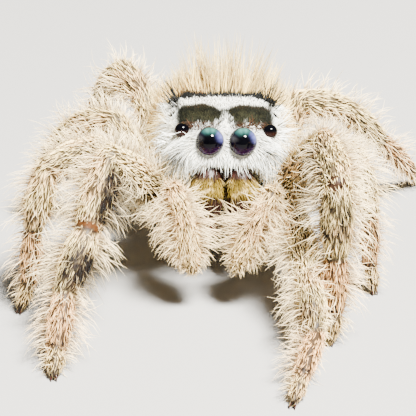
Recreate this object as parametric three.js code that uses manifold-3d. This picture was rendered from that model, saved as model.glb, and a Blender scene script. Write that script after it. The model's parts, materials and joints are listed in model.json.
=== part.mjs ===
// A heavy jumping spider, adult female, standing still with its head raised.
// Millimetres, +Z up. The animal faces -Y, so its own left side is +X.
// The origin is on the floor, below the middle of the whole animal.
// Every solid is full size out to the tips of its dense coat.
import * as THREE from 'three';
import { mergeVertices } from 'three/addons/utils/BufferGeometryUtils.js';
import Module from 'manifold-3d';

const wasm = await Module();
wasm.setup();

// ---------------------------------------------------------------- driving dimensions

const degree = Math.PI / 180;
const partingGap = 0.025;        // clear space left between two neighbouring solids
const limbSides = 7;

// Prosoma frame: origin midway between the two big front eyes, x to the left side,
// y towards the back, z up. These place it over the floor.
const eyeHeight = 4.9;
const prosomaPitch = 24 * degree;     // nose up
const prosomaRoll = 2.5 * degree;     // left side lower
const prosomaYaw = 4 * degree;        // turned to its left

const carapaceFront = -0.02;
const carapaceLength = 5.75;
const crest = { start: 2.1, length: 2.3, foot: 0.9, top: 3.6 };
const abdomenLength = 7.0;
const abdomenPitch = 2 * degree;      // rear end lower
const abdomenStart = new THREE.Vector3(-0.36, 4.98, 2.2);

// Left eye of each pair. The two hind pairs look out of the coat along a clear funnel.
const eyes = {
  front_eye: { radius: 0.44, x: 0.53, y: 0.1, z: 0, around: 12, along: 6 },
  side_eye: { radius: 0.21, x: 1.38, y: 0.42, z: 0.33, around: 8, along: 5 },
  small_eye: { radius: 0.1, x: 1.66, y: 1.28, z: 0.82, funnel: [0.85, -0.3, 0.45], around: 7, along: 4 },
  rear_eye: { radius: 0.2, x: 1.6, y: 2.3, z: 1.28, funnel: [0.7, -0.2, 0.7], around: 8, along: 5 },
};

const footLift = 0.16;           // height of the tarsus axis end over the floor
const segmentNames = ['femur', 'patella', 'tibia', 'foot'];

// Hips in the prosoma frame, front pair first, for the left side.
const hips = [[1.75, 1.3, -1.85], [2.0, 2.35, -1.95], [2.0, 3.3, -2.0], [1.75, 4.25, -2.0]];

// Femur, patella, tibia, metatarsus and tarsus lengths of each pair.
const segmentLengths = [
  [3.5, 2.25, 2.2, 1.75, 1.0],
  [3.3, 2.1, 2.05, 1.75, 1.0],
  [3.0, 1.55, 1.8, 1.8, 0.95],
  [3.6, 1.8, 2.3, 2.4, 1.05],
];
const pairThickness = [1, 0.9, 0.88, 0.92];

// Where each segment points. Azimuth 0 is straight ahead and 90 straight out to the
// side, elevation is above the floor. The tarsus elevation follows from the floor.
const stance = {
  L1: { azimuth: [42, 7, 3, -5, -13], elevation: [52, -13, -82, -75] },
  R1: { azimuth: [44, 25, 26, 9, 1], elevation: [41, -50, -44, -44] },
  L2: { azimuth: [8, 7, 6, -17, -19], elevation: [13, -22, -31, -14] },
  R2: { azimuth: [64, 42, 38, 38, 38], elevation: [46, 0, -66, -80] },
  L3: { azimuth: [54, 36, 28, 24, 22], elevation: [49, 16, -59, -86] },
  R3: { azimuth: [121, 116, 111, 109, 109], elevation: [56, -11, -49, -65] },
  L4: { azimuth: [128, 112, 114, 132, 140], elevation: [69, -14, -44, -45] },
  R4: { azimuth: [156, 151, 149, 150, 150], elevation: [57, 15, -41, -66] },
};

// Coat-deep radii along each segment, evenly spaced from its near to its far joint.
const femurRadii = [0.36, 0.76, 0.76, 0.52];
const patellaRadii = [0.5, 0.76, 0.48];
const tibiaRadii = [0.47, 0.78, 0.76, 0.46];
const metatarsusRadii = [0.44, 0.64, 0.4];
const tarsusRadii = [0.3, 0.42, 0.26];

const palpJoints = {
  L: [[1.1, 0.85, -2.05], [1.5, -0.35, -1.65], [0.95, -0.75, -2.48], [0.35, -0.7, -4.22]],
  R: [[-1.1, 0.85, -2.05], [-1.72, -0.35, -1.57], [-1.38, -0.75, -2.42], [-1.1, -0.7, -4.2]],
};

// ---------------------------------------------------------------- materials

const material = (color, roughness, metalness = 0) =>
  new THREE.MeshStandardMaterial({ color, roughness, metalness });
const creamCoat = material('#d9c7a4', 0.9);
const whiteCoat = material('#e6e3d8', 0.9);
const eyeGlass = material('#0b0a12', 0.08);
const amberCoat = material('#b8973c', 0.75);
const darkShell = material('#2b1712', 0.35);
const brownShell = material('#7a4a30', 0.5);

// ---------------------------------------------------------------- solids

// Merges the shared corners of a closed geometry and hands it over for cutting.
function solidOf(geometry) {
  geometry.deleteAttribute('normal');
  geometry.deleteAttribute('uv');
  const merged = mergeVertices(geometry, 1e-5);
  return new wasm.Manifold(new wasm.Mesh({
    numProp: 3,
    vertProperties: new Float32Array(merged.attributes.position.array),
    triVerts: new Uint32Array(merged.index.array),
  }));
}

function geometryOf(solid) {
  const mesh = solid.getMesh();
  const geometry = new THREE.BufferGeometry();
  geometry.setAttribute('position', new THREE.BufferAttribute(mesh.vertProperties, 3));
  geometry.setIndex(new THREE.BufferAttribute(mesh.triVerts, 1));
  geometry.computeVertexNormals();
  return geometry;
}

// Smooth value between the rows [position, value] of a short table.
function blend(rows, position) {
  const last = rows.length - 1;
  if (position <= rows[0][0]) return rows[0][1];
  if (position >= rows[last][0]) return rows[last][1];
  const after = rows.findIndex((row) => row[0] > position);
  const [startAt, startValue] = rows[after - 1];
  const [endAt, endValue] = rows[after];
  const part = (position - startAt) / (endAt - startAt);
  const eased = 0.5 * part + 0.5 * part * part * (3 - 2 * part);
  return startValue + (endValue - startValue) * eased;
}

// A rounded body along y, drawn from a sphere with its poles on y. Its section at each
// share s of the length reaches half(s) to the sides, top(s) up and bottom(s) down.
function bodyOfSections({ start, length, half, top, bottom, fullness, bluntness, around, along, grow }) {
  const geometry = new THREE.SphereGeometry(1, around, along);
  const corners = geometry.attributes.position;
  for (let index = 0; index < corners.count; index += 1) {
    const sphere = new THREE.Vector3().fromBufferAttribute(corners, index);
    const share = (1 + sphere.y) / 2;
    const flat = Math.hypot(sphere.x, sphere.z) || 1;
    const closing = (1 - Math.abs(sphere.y) ** bluntness) ** (1 / 2);
    const round = (value) => Math.sign(value) * Math.abs(value / flat) ** (2 / fullness);
    const high = top(share) + grow;
    const low = bottom(share) - grow;
    const middle = (high + low) / 2;
    const wide = (half(share) + grow) * closing * (sphere.x ** 2 + sphere.z ** 2 > 1e-9 ? 1 : 0);
    corners.setXYZ(
      index,
      wide * round(sphere.x),
      start - grow + share * (length + 2 * grow),
      middle + ((high - low) / 2) * closing * round(sphere.z),
    );
  }
  return solidOf(geometry);
}

function ball({ radius, x, y, z, around, along }, side, grow) {
  const geometry = new THREE.SphereGeometry(radius + grow, around, along);
  geometry.rotateX(Math.PI / 2);
  geometry.translate(side * x, y, z);
  return solidOf(geometry);
}

// A turned, round-ended solid from one point to another with radii evenly spaced
// between them. The round ends reach past both points by their own radius.
function turned(from, to, radii, sides, grow = 0) {
  const span = from.distanceTo(to);
  const first = radii[0] + grow;
  const last = radii[radii.length - 1] + grow;
  const shoulder = Math.SQRT1_2;
  const profile = [new THREE.Vector2(0, -first), new THREE.Vector2(first * shoulder, -first * shoulder)];
  radii.forEach((radius, index) => {
    profile.push(new THREE.Vector2(radius + grow, (span * index) / (radii.length - 1)));
  });
  profile.push(new THREE.Vector2(last * shoulder, span + last * shoulder));
  profile.push(new THREE.Vector2(0, span + last));
  const geometry = new THREE.LatheGeometry(profile, sides);
  const direction = to.clone().sub(from).normalize();
  geometry.applyQuaternion(new THREE.Quaternion().setFromUnitVectors(new THREE.Vector3(0, 1, 0), direction));
  geometry.translate(from.x, from.y, from.z);
  return solidOf(geometry);
}

// A block that fills one side of the plane through a point, for cutting.
function blockBeyond(point, normal, size = 4) {
  const geometry = new THREE.BoxGeometry(size, size, size);
  geometry.translate(0, 0, size / 2);
  const toNormal = new THREE.Quaternion().setFromUnitVectors(new THREE.Vector3(0, 0, 1), normal);
  geometry.applyQuaternion(toNormal);
  geometry.translate(point.x, point.y, point.z);
  return solidOf(geometry);
}

const moved = (solid, matrix) => solid.transform(matrix.elements);

// ---------------------------------------------------------------- groups

const spider = new THREE.Group();
const prosoma = new THREE.Group();
prosoma.position.set(0, 0, eyeHeight);
prosoma.rotation.set(-prosomaPitch, prosomaRoll, prosomaYaw, 'ZXY');
const opisthosoma = new THREE.Group();
opisthosoma.position.copy(abdomenStart);
opisthosoma.rotation.set(-abdomenPitch, 0, prosomaYaw * 0.4, 'ZXY');
spider.add(prosoma, opisthosoma);
spider.updateMatrixWorld(true);

const prosomaPoint = (coordinates) => prosoma.localToWorld(new THREE.Vector3(...coordinates));

// A slightly larger copy of each solid already placed, which later neighbours clear.
const clearances = [];

function boxesMeet(first, second) {
  const a = first.boundingBox();
  const b = second.boundingBox();
  return [0, 1, 2].every((axis) => a.min[axis] <= b.max[axis] && b.min[axis] <= a.max[axis]);
}

// Builds one sub-part in the spider's frame, cuts it clear of what is already there and
// hangs it in its group. make(grow) gives the solid, larger all round by grow.
function addPart(group, name, partMaterial, make) {
  let solid = make(0);
  for (const neighbour of clearances) {
    if (boxesMeet(solid, neighbour)) solid = solid.subtract(neighbour);
  }
  const pieces = solid.decompose();
  const largest = pieces.reduce((best, piece) => (piece.volume() > best.volume() ? piece : best));
  clearances.push(make(partingGap));
  const geometry = geometryOf(largest);
  geometry.applyMatrix4(group.matrixWorld.clone().invert());
  const mesh = new THREE.Mesh(geometry, partMaterial);
  mesh.name = name;
  group.add(mesh);
}

// ---------------------------------------------------------------- eyes

function addEyes() {
  for (const [name, eye] of Object.entries(eyes)) {
    for (const [sideName, side] of [['left', 1], ['right', -1]]) {
      const make = (grow) => moved(ball(eye, side, grow), prosoma.matrixWorld);
      addPart(prosoma, `${name}_${sideName}`, eyeGlass, make);
    }
  }
}

// Opens the coat in front of the hind eyes, so that they aren't buried.
function cutEyeFunnels(solid) {
  let opened = solid;
  for (const { radius, x, y, z, funnel } of [eyes.small_eye, eyes.rear_eye]) {
    for (const side of [1, -1]) {
      const seat = new THREE.Vector3(side * x, y, z);
      const ahead = new THREE.Vector3(side * funnel[0], funnel[1], funnel[2]).normalize();
      const outside = seat.clone().addScaledVector(ahead, 1.2);
      const opening = turned(seat, outside, [radius * 0.7, radius + 0.2], 7);
      opened = opened.subtract(moved(opening, prosoma.matrixWorld));
    }
  }
  return opened;
}

// ---------------------------------------------------------------- head and trunk

// The fan of long hair that stands up right behind the hind eyes.
function crestSolid(grow) {
  return moved(bodyOfSections({
    start: crest.start,
    length: crest.length,
    half: (share) => blend([[0, 1.7], [0.4, 1.85], [1, 1.5]], share),
    top: (share) => blend([[0, 3.3], [0.2, crest.top], [0.5, 3.3], [1, 2.1]], share),
    bottom: () => crest.foot,
    fullness: 2,
    bluntness: 4,
    around: 12,
    along: 6,
    grow,
  }), prosoma.matrixWorld);
}

function carapaceSolid(grow) {
  const y = (share) => share * carapaceLength;
  const halfRows = [[0, 1.62], [0.35, 1.9], [1.1, 2.22], [2.2, 2.5], [3.3, 2.6], [4.3, 2.45], [5.75, 1.5]];
  const topRows = [
    [0, 0.55], [0.2, 0.72], [0.55, 1.05], [1.25, 1.38], [2.05, 1.62], [2.9, 2.1], [3.9, 2.1], [4.7, 1.7],
    [5.75, 0.7],
  ];
  const bottomRows = [[0, -0.8], [0.5, -1.05], [1.5, -1.45], [4.2, -1.5], [5.75, -1.3]];
  const whole = moved(bodyOfSections({
    start: carapaceFront,
    length: carapaceLength,
    half: (share) => blend(halfRows, y(share)),
    top: (share) => blend(topRows, y(share)),
    bottom: (share) => blend(bottomRows, y(share)),
    fullness: 2.7,
    bluntness: 9,
    around: 16,
    along: 12,
    grow,
  }), prosoma.matrixWorld);
  return cutEyeFunnels(whole.add(crestSolid(grow)));
}

// A coxa runs from inside the rim of the breast plate out to the hip.
function coxaOf(side, pair) {
  const [x, y, z] = hips[pair];
  const inner = prosomaPoint([side * 0.85, 0.3 + 0.9 * y, z - 0.06]);
  const hip = prosomaPoint([side * x, y, z]);
  return { inner, hip, outward: hip.clone().sub(inner).normalize() };
}

// The breast plate with the eight coxae that grow from its rim.
function sternumSolid(grow) {
  let solid = moved(bodyOfSections({
    start: 1.35,
    length: 3.4,
    half: (share) => 0.8 + 0.55 * Math.sin(Math.PI * share),
    top: () => -1.52,
    bottom: () => -2.42,
    fullness: 2.6,
    bluntness: 5,
    around: 10,
    along: 6,
    grow,
  }), prosoma.matrixWorld);
  for (const pair of hips.keys()) {
    for (const side of [1, -1]) {
      const { inner, hip, outward } = coxaOf(side, pair);
      const coxa = turned(inner, hip, [0.4, 0.42], 5, grow);
      const face = hip.clone().addScaledVector(outward, grow - partingGap / 2);
      solid = solid.add(coxa.subtract(blockBeyond(face, outward)));
    }
  }
  return solid;
}

function addTrunk() {
  addPart(prosoma, 'carapace', whiteCoat, carapaceSolid);
  addPart(prosoma, 'sternum', brownShell, sternumSolid);
}

function addMouthparts() {
  for (const [sideName, side] of [['left', 1], ['right', -1]]) {
    const jawTop = prosomaPoint([side * 0.54, 0.62, -1.15]);
    const jawTip = prosomaPoint([side * 0.46, 0.52, -2.62]);
    const jaw = (grow) => turned(jawTop, jawTip, [0.5, 0.53, 0.36], 9, grow);
    addPart(prosoma, `chelicera_${sideName}`, amberCoat, jaw);
    const fangRoot = prosomaPoint([side * 0.5, 0.6, -3.1]);
    const fangTip = prosomaPoint([side * 0.12, 0.78, -3.02]);
    const fang = (grow) => turned(fangRoot, fangTip, [0.15, 0.08], 6, grow);
    addPart(prosoma, `fang_${sideName}`, darkShell, fang);
  }
  for (const [sideName, side] of [['left', 1], ['right', -1]]) {
    const lobeRoot = prosomaPoint([side * 0.55, 1.42, -2.2]);
    const lobeTip = prosomaPoint([side * 0.42, 1.1, -2.85]);
    const lobe = (grow) => turned(lobeRoot, lobeTip, [0.28, 0.26], 6, grow);
    addPart(prosoma, `maxilla_${sideName}`, brownShell, lobe);
  }
  const lipRoot = prosomaPoint([0, 1.6, -2.45]);
  const lipTip = prosomaPoint([0, 1.3, -2.75]);
  const lip = (grow) => turned(lipRoot, lipTip, [0.2, 0.18], 6, grow);
  addPart(prosoma, 'labium', brownShell, lip);
}

function addPalps() {
  const parts = [
    ['femur', [0.32, 0.46, 0.42]],
    ['tibia', [0.44, 0.6, 0.52]],
    ['tarsus', [0.56, 0.8, 0.8, 0.36]],
  ];
  for (const [sideName, key] of [['left', 'L'], ['right', 'R']]) {
    const joints = palpJoints[key].map(prosomaPoint);
    const normals = [null, partingNormal(joints, 1), partingNormal(joints, 2), null];
    parts.forEach(([partName, radii], index) => {
      const make = (grow) => limbPiece(joints, index, radii, grow, normals[index], normals[index + 1]);
      addPart(prosoma, `palp_${sideName}_${partName}`, creamCoat, make);
    });
  }
}

function addAbdomen() {
  const frame = opisthosoma.matrixWorld;
  const abdomen = (grow) => moved(bodyOfSections({
    start: 0,
    length: abdomenLength,
    half: (share) => blend([[0, 1.5], [0.2, 2.2], [0.5, 2.65], [0.75, 2.25], [1, 1.1]], share),
    top: (share) => blend([[0, 0.85], [0.25, 1.55], [0.5, 1.75], [0.8, 1.3], [1, 0.45]], share),
    bottom: (share) => blend([[0, -0.95], [0.35, -1.65], [0.6, -1.7], [1, -0.7]], share),
    fullness: 2.15,
    bluntness: 3.2,
    around: 16,
    along: 11,
    grow,
  }), frame);
  const waist = (grow) => turned(
    prosomaPoint([0, 4.75, -1.1]),
    abdomenStart.clone().add(new THREE.Vector3(0, 0.5, -0.15)),
    [0.42, 0.36, 0.42],
    6,
    grow,
  );
  const spinnerets = (grow) => {
    const at = (x, y, z) => new THREE.Vector3(x, abdomenLength + y, z).applyMatrix4(frame);
    let cluster = turned(at(0, -0.3, -0.12), at(0, 0.4, -0.34), [0.24, 0.12], 6, grow);
    for (const side of [1, -1]) {
      const cone = turned(at(side * 0.1, -0.2, -0.1), at(side * 0.24, 0.6, -0.1), [0.2, 0.1], 6, grow);
      cluster = cluster.add(cone);
    }
    return cluster;
  };
  addPart(opisthosoma, 'abdomen', creamCoat, abdomen);
  addPart(opisthosoma, 'pedicel', brownShell, waist);
  addPart(opisthosoma, 'spinnerets', brownShell, spinnerets);
}

// ---------------------------------------------------------------- limbs

function pointing(side, azimuth, elevation) {
  const level = Math.cos(elevation);
  return new THREE.Vector3(side * Math.sin(azimuth) * level, -Math.cos(azimuth) * level, Math.sin(elevation));
}

// The joints of one leg, from its hip to the end of its tarsus.
function legJoints(key, side, pair) {
  const { azimuth, elevation } = stance[key];
  const joints = [coxaOf(side, pair).hip];
  segmentLengths[pair].forEach((length, index) => {
    const start = joints[index];
    const toFloor = -Math.asin((start.z - footLift) / length);
    const rise = index < elevation.length ? elevation[index] * degree : toFloor;
    joints.push(start.clone().addScaledVector(pointing(side, azimuth[index] * degree, rise), length));
  });
  return joints;
}

// The plane that parts two segments at a joint halves the angle between them.
function partingNormal(joints, index) {
  const before = joints[index].clone().sub(joints[index - 1]).normalize();
  const after = joints[index + 1].clone().sub(joints[index]).normalize();
  return before.add(after).normalize();
}

// One segment of a chain of joints, cut off flat at the joints that have a normal.
function limbPiece(joints, index, radii, grow, nearNormal, farNormal) {
  let solid = turned(joints[index], joints[index + 1], radii, limbSides, grow);
  const room = grow - partingGap / 2;
  if (nearNormal) {
    const back = nearNormal.clone().negate();
    solid = solid.subtract(blockBeyond(joints[index].clone().addScaledVector(back, room), back));
  }
  if (farNormal) {
    const face = joints[index + 1].clone().addScaledVector(farNormal, room);
    solid = solid.subtract(blockBeyond(face, farNormal));
  }
  return solid;
}

// Metatarsus and tarsus in one piece, with a small flat sole on the floor.
function footSolid(joints, thickness, grow) {
  const scaled = (radii) => radii.map((radius) => radius * thickness);
  const shin = limbPiece(joints, 3, scaled(metatarsusRadii), grow, partingNormal(joints, 3));
  const toe = turned(joints[4], joints[5], scaled(tarsusRadii), limbSides, grow);
  const sole = new THREE.Vector3(joints[5].x, joints[5].y, 0);
  return shin.add(toe).subtract(blockBeyond(sole, new THREE.Vector3(0, 0, -1)));
}

function addLeg(key) {
  const side = key[0] === 'L' ? 1 : -1;
  const pair = Number(key[1]) - 1;
  const joints = legJoints(key, side, pair);
  const thickness = pairThickness[pair];
  const normals = [coxaOf(side, pair).outward, ...[1, 2, 3].map((index) => partingNormal(joints, index))];
  const radii = [femurRadii, patellaRadii, tibiaRadii].map((row) => row.map((radius) => radius * thickness));
  segmentNames.forEach((segment, index) => {
    const make = segment === 'foot'
      ? (grow) => footSolid(joints, thickness, grow)
      : (grow) => limbPiece(joints, index, radii[index], grow, normals[index], normals[index + 1]);
    addPart(spider, `leg_${side > 0 ? 'left' : 'right'}_${pair + 1}_${segment}`, creamCoat, make);
  });
}

// ---------------------------------------------------------------- the whole animal

addEyes();
addTrunk();
addMouthparts();
addPalps();
for (const key of ['L1', 'R1', 'L2', 'R2', 'L3', 'R3', 'L4', 'R4']) addLeg(key);
addAbdomen();

// Centre the animal over the origin. Its feet already stand at z = 0.
const extent = new THREE.Box3().setFromObject(spider, true);
const centre = extent.getCenter(new THREE.Vector3());
spider.position.set(-centre.x, -centre.y, 0);

export default spider;
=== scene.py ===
# Jumping spider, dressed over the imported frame: one skin, a coat of bristles made with
# Geometry Nodes, glassy eyes and hard mouthparts. Lengths in this file are millimetres
# until a mesh is finished, when it is scaled to metres.
import json
import math
import bpy
import numpy as np
from mathutils import Matrix, Vector
from mathutils.bvhtree import BVHTree

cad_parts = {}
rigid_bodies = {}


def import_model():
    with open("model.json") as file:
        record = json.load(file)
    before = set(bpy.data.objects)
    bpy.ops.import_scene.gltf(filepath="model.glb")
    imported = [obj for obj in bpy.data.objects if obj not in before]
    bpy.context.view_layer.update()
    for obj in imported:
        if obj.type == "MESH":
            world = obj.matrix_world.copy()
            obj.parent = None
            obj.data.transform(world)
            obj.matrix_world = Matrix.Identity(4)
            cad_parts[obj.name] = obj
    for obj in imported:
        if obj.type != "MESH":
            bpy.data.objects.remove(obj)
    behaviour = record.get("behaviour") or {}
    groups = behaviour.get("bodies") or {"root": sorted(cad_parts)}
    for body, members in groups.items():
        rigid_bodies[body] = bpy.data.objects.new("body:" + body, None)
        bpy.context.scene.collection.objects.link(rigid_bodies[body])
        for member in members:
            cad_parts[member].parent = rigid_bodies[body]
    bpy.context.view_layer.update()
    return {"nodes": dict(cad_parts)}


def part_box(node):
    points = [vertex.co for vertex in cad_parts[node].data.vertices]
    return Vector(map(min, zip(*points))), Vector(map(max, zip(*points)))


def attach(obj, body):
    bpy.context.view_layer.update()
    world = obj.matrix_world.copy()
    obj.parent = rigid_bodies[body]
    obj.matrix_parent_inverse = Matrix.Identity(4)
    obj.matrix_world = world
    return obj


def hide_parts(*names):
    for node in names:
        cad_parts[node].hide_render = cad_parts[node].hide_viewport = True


for leftover in list(bpy.data.objects):
    bpy.data.objects.remove(leftover)
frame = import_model()
mm = 0.001
rest = "root"
handed = {"left": 1, "right": -1}       # the animal's own left is +X
print("frame loaded:", len(frame["nodes"]), "nodes")


# small helpers

def unit(v):
    v = np.asarray(v, dtype=float)
    return v / np.maximum(np.linalg.norm(v, axis=-1, keepdims=True), 1e-9)


def tone(code):
    # a colour written as in a paint program, turned to linear light
    values = np.array([int(code[i:i + 2], 16) / 255 for i in (1, 3, 5)])
    return np.where(values <= 0.04045, values / 12.92, ((values + 0.055) / 1.055) ** 2.4)


def ramp(value, low, high):
    # 0 below low, 1 above high, smooth between
    t = np.clip((np.asarray(value, dtype=float) - low) / (high - low), 0, 1)
    return t * t * (3 - 2 * t)


def band(value, low, high, soft):
    return ramp(value, low - soft, low + soft) * (1 - ramp(value, high - soft, high + soft))


def mix(a, b, share):
    return a * (1 - share) + b * share


def blend(a, b, share):
    # mix for rows of colours or directions
    return mix(a, b, np.asarray(share, dtype=float)[..., None])


def ripple(points, scale, seed=0):
    # gentle repeatable noise, about -1 to 1
    total = np.zeros(len(points))
    for i in range(4):
        turn = 1.7 * i + 2.3 * seed
        axis = unit([math.sin(turn), math.cos(turn * 1.3), math.sin(turn * 0.7 + 1)])
        total += np.sin(points @ axis * scale * (1 + 0.37 * i) + turn * 5)
    return total / 2.6


def wayOf(x, y, z):
    # one direction for each point, from numbers or arrays
    return np.stack(np.broadcast_arrays(x, y, z), axis=1)


def mirrored(place, sign):
    # a place or direction given for the left side, on the side of sign
    return np.array(place) * np.array([sign, 1, 1])


def boxMiddle(node):
    low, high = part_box(node)
    return (np.array(low) + np.array(high)) / 2 / mm


# places, read from the frame

eyePlan = {"rearRise": 1.28, "rearRun": 2.2, "frontDepth": 0.1}
frontMiddle = (boxMiddle("front_eye_left") + boxMiddle("front_eye_right")) / 2
rearMiddle = (boxMiddle("rear_eye_left") + boxMiddle("rear_eye_right")) / 2
headX = unit(boxMiddle("rear_eye_left") - boxMiddle("rear_eye_right"))
toRear = rearMiddle - frontMiddle
toRear = unit(toRear - headX * (toRear @ headX))
offRear = np.cross(headX, toRear)
eyeSlope = math.atan2(eyePlan["rearRise"], eyePlan["rearRun"])
headY = math.cos(eyeSlope) * toRear - math.sin(eyeSlope) * offRear
headZ = math.sin(eyeSlope) * toRear + math.cos(eyeSlope) * offRear
headOrigin = frontMiddle - eyePlan["frontDepth"] * headY
headAxes = np.array([headX, headY, headZ])
abdomenPlan = {"start": (-0.36, 4.98, -2.7), "pitch": -2.0, "yaw": 1.6}
abdomenStart = headOrigin + np.array(abdomenPlan["start"])
yaw, pitch = math.radians(abdomenPlan["yaw"]), math.radians(abdomenPlan["pitch"])
abdomenAxes = np.array(Matrix.Rotation(yaw, 3, "Z") @ Matrix.Rotation(pitch, 3, "X")).T


def fromHead(place):
    return headOrigin + np.asarray(place, dtype=float) @ headAxes


def toHead(points):
    return (np.asarray(points) - headOrigin) @ headAxes.T


def fromAbdomen(place):
    return abdomenStart + np.asarray(place, dtype=float) @ abdomenAxes


def toAbdomen(points):
    return (np.asarray(points) - abdomenStart) @ abdomenAxes.T


eyeSettings = {
    "front": {"radius": 0.44, "place": (0.53, 0.1, 0.0), "gaze": (0.06, -1, 0.02), "socket": 0.02,
              "clear": 0.035},
    "side": {"radius": 0.235, "place": (1.38, 0.42, 0.33), "gaze": (0.3, -1, 0.05), "socket": 0.025,
             "clear": 0.07},
    "small": {"radius": 0.1, "place": (1.66, 1.28, 0.82), "gaze": (0.75, -0.35, 0.5), "socket": 0.02,
              "clear": 0.0},
    "rear": {"radius": 0.2, "place": (1.6, 2.3, 1.28), "gaze": (0.65, -0.15, 0.7), "socket": 0.03,
             "clear": 0.01},
}
# every eye in the head's own axes: kind, side, place, gaze, radius, socket and bare ring
eyeSeats = [(kind, side, mirrored(plan["place"], sign), unit(mirrored(plan["gaze"], sign)),
             plan["radius"], plan["socket"], plan["clear"])
            for kind, plan in eyeSettings.items() for side, sign in handed.items()]

# the stance: azimuth of each segment from straight ahead, then its rise, in degrees;
# the tarsus comes down to the floor by itself
segmentNames = ["femur", "patella", "tibia", "metatarsus", "tarsus"]
legPlan = {
    1: {"hip": (1.75, 1.3, -1.85), "lengths": (3.5, 2.25, 2.2, 1.75, 1.0),
        "left": ((42, 7, 3, -5, -13), (52, -13, -82, -75)),
        "right": ((44, 25, 26, 9, 1), (41, -50, -44, -44))},
    2: {"hip": (2.0, 2.35, -1.95), "lengths": (3.3, 2.1, 2.05, 1.75, 1.0),
        "left": ((8, 7, 6, -17, -19), (13, -22, -31, -14)),
        "right": ((64, 42, 38, 38, 38), (46, 0, -66, -80))},
    3: {"hip": (2.0, 3.3, -2.0), "lengths": (3.0, 1.55, 1.8, 1.8, 0.95),
        "left": ((54, 36, 28, 24, 22), (49, 16, -59, -86)),
        "right": ((121, 116, 111, 109, 109), (56, -11, -49, -65))},
    4: {"hip": (1.75, 4.25, -2.0), "lengths": (3.6, 1.8, 2.3, 2.4, 1.05),
        "left": ((128, 112, 114, 132, 140), (69, -14, -44, -45)),
        "right": ((156, 151, 149, 150, 150), (57, 15, -41, -66))},
}
footLift = 0.16


def legJoints(pair, side):
    plan, sign = legPlan[pair], handed[side]
    joints = [fromHead(mirrored(plan["hip"], sign))]
    azimuths, rises = plan[side]
    for i, length in enumerate(plan["lengths"]):
        turn = math.radians(azimuths[i])
        if i < len(rises):
            rise = math.radians(rises[i])
        else:
            rise = math.asin(np.clip((footLift - joints[-1][2]) / length, -1, 1))
        way = np.array([sign * math.sin(turn) * math.cos(rise), -math.cos(turn) * math.cos(rise),
                        math.sin(rise)])
        joints.append(joints[-1] + way * length)
    return joints


palpPlan = {
    "left": ((1.1, 0.85, -2.05), (1.5, -0.35, -1.65), (0.95, -0.75, -2.48), (0.3, -0.7, -4.02)),
    "right": ((-1.1, 0.85, -2.05), (-1.72, -0.35, -1.57), (-1.38, -0.75, -2.42), (-1.1, -0.7, -4.08)),
}
print("places read from the frame")


# camera and lights

viewPlan = {"distance": 50.0, "elevation": 27.0, "slideX": -0.5968, "slideUp": -2.1452, "lens": 134.1}
tilt = math.radians(viewPlan["elevation"])
lookWay = np.array([0, math.cos(tilt), -math.sin(tilt)])
lookUp = np.array([0, math.sin(tilt), math.cos(tilt)])
cameraPlace = headOrigin - viewPlan["distance"] * lookWay
cameraPlace = cameraPlace + viewPlan["slideX"] * np.array([1, 0, 0]) + viewPlan["slideUp"] * lookUp
cameraData = bpy.data.cameras.new("camera")
cameraData.lens = viewPlan["lens"]
cameraData.sensor_width = 36
cameraData.clip_start, cameraData.clip_end = 0.002, 5
camera = bpy.data.objects.new("camera", cameraData)
camera.location = Vector(cameraPlace * mm)
camera.rotation_euler = (math.radians(90 - viewPlan["elevation"]), 0, 0)
bpy.context.scene.collection.objects.link(camera)
bpy.context.scene.camera = camera

# place and size of each soft box in millimetres, power in watts
lightPlan = {
    "keySoftbox": {"place": (60, -60, 190), "size": (46, 46), "power": 6.2, "colour": (1.0, 0.97, 0.9),
                   "glint": True},
    "fillSoftbox": {"place": (-120, -150, 60), "size": (120, 120), "power": 0.12,
                    "colour": (1.0, 0.98, 0.94), "glint": False},
}
lightAim = (0, -1, 3)
for lightName, plan in lightPlan.items():
    softbox = bpy.data.lights.new(lightName, "AREA")
    softbox.shape = "RECTANGLE"
    softbox.size, softbox.size_y = (s * mm for s in plan["size"])
    softbox.energy, softbox.color = plan["power"], plan["colour"]
    lamp = bpy.data.objects.new(lightName, softbox)
    lamp.location = Vector(plan["place"]) * mm
    lamp.rotation_euler = (Vector(lightAim) * mm - lamp.location).to_track_quat("-Z", "Y").to_euler()
    lamp.visible_glossy = plan["glint"]
    bpy.context.scene.collection.objects.link(lamp)
roomPlan = {"Color": (0.9, 0.885, 0.85, 1), "Strength": 0.13}
world = bpy.data.worlds.new("paleRoom")
world.use_nodes = True
for socketName, value in roomPlan.items():
    world.node_tree.nodes["Background"].inputs[socketName].default_value = value
bpy.context.scene.world = world


# meshes: shared helpers

def meshObject(name, points, faces):
    mesh = bpy.data.meshes.new(name)
    mesh.from_pydata([tuple(p) for p in points], [], [tuple(int(i) for i in f) for f in faces])
    mesh.update()
    piece = bpy.data.objects.new(name, mesh)
    bpy.context.scene.collection.objects.link(piece)
    return piece


def evaluatedMesh(piece):
    graph = bpy.context.evaluated_depsgraph_get()
    return bpy.data.meshes.new_from_object(piece.evaluated_get(graph))


def placePiece(piece, nodes=()):
    piece.data.transform(Matrix.Scale(mm, 4))
    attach(piece, rest)
    if nodes:
        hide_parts(*nodes)


def finishPiece(piece, material, nodes=()):
    piece.data.materials.clear()
    piece.data.materials.append(material)
    for polygon in piece.data.polygons:
        polygon.use_smooth = True
    placePiece(piece, nodes)


def acrossOf(along, spare=(0, 1, 0)):
    # square to along, and level unless along is nearly upright
    return unit(np.cross(along, (0, 0, 1) if abs(along[2]) < 0.9 else spare))


def ringAround(middle, radius, across, upward, sides):
    turns = [2 * math.pi * k / sides for k in range(sides)]
    return [middle + radius * (math.cos(t) * across + math.sin(t) * upward) for t in turns]


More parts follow.
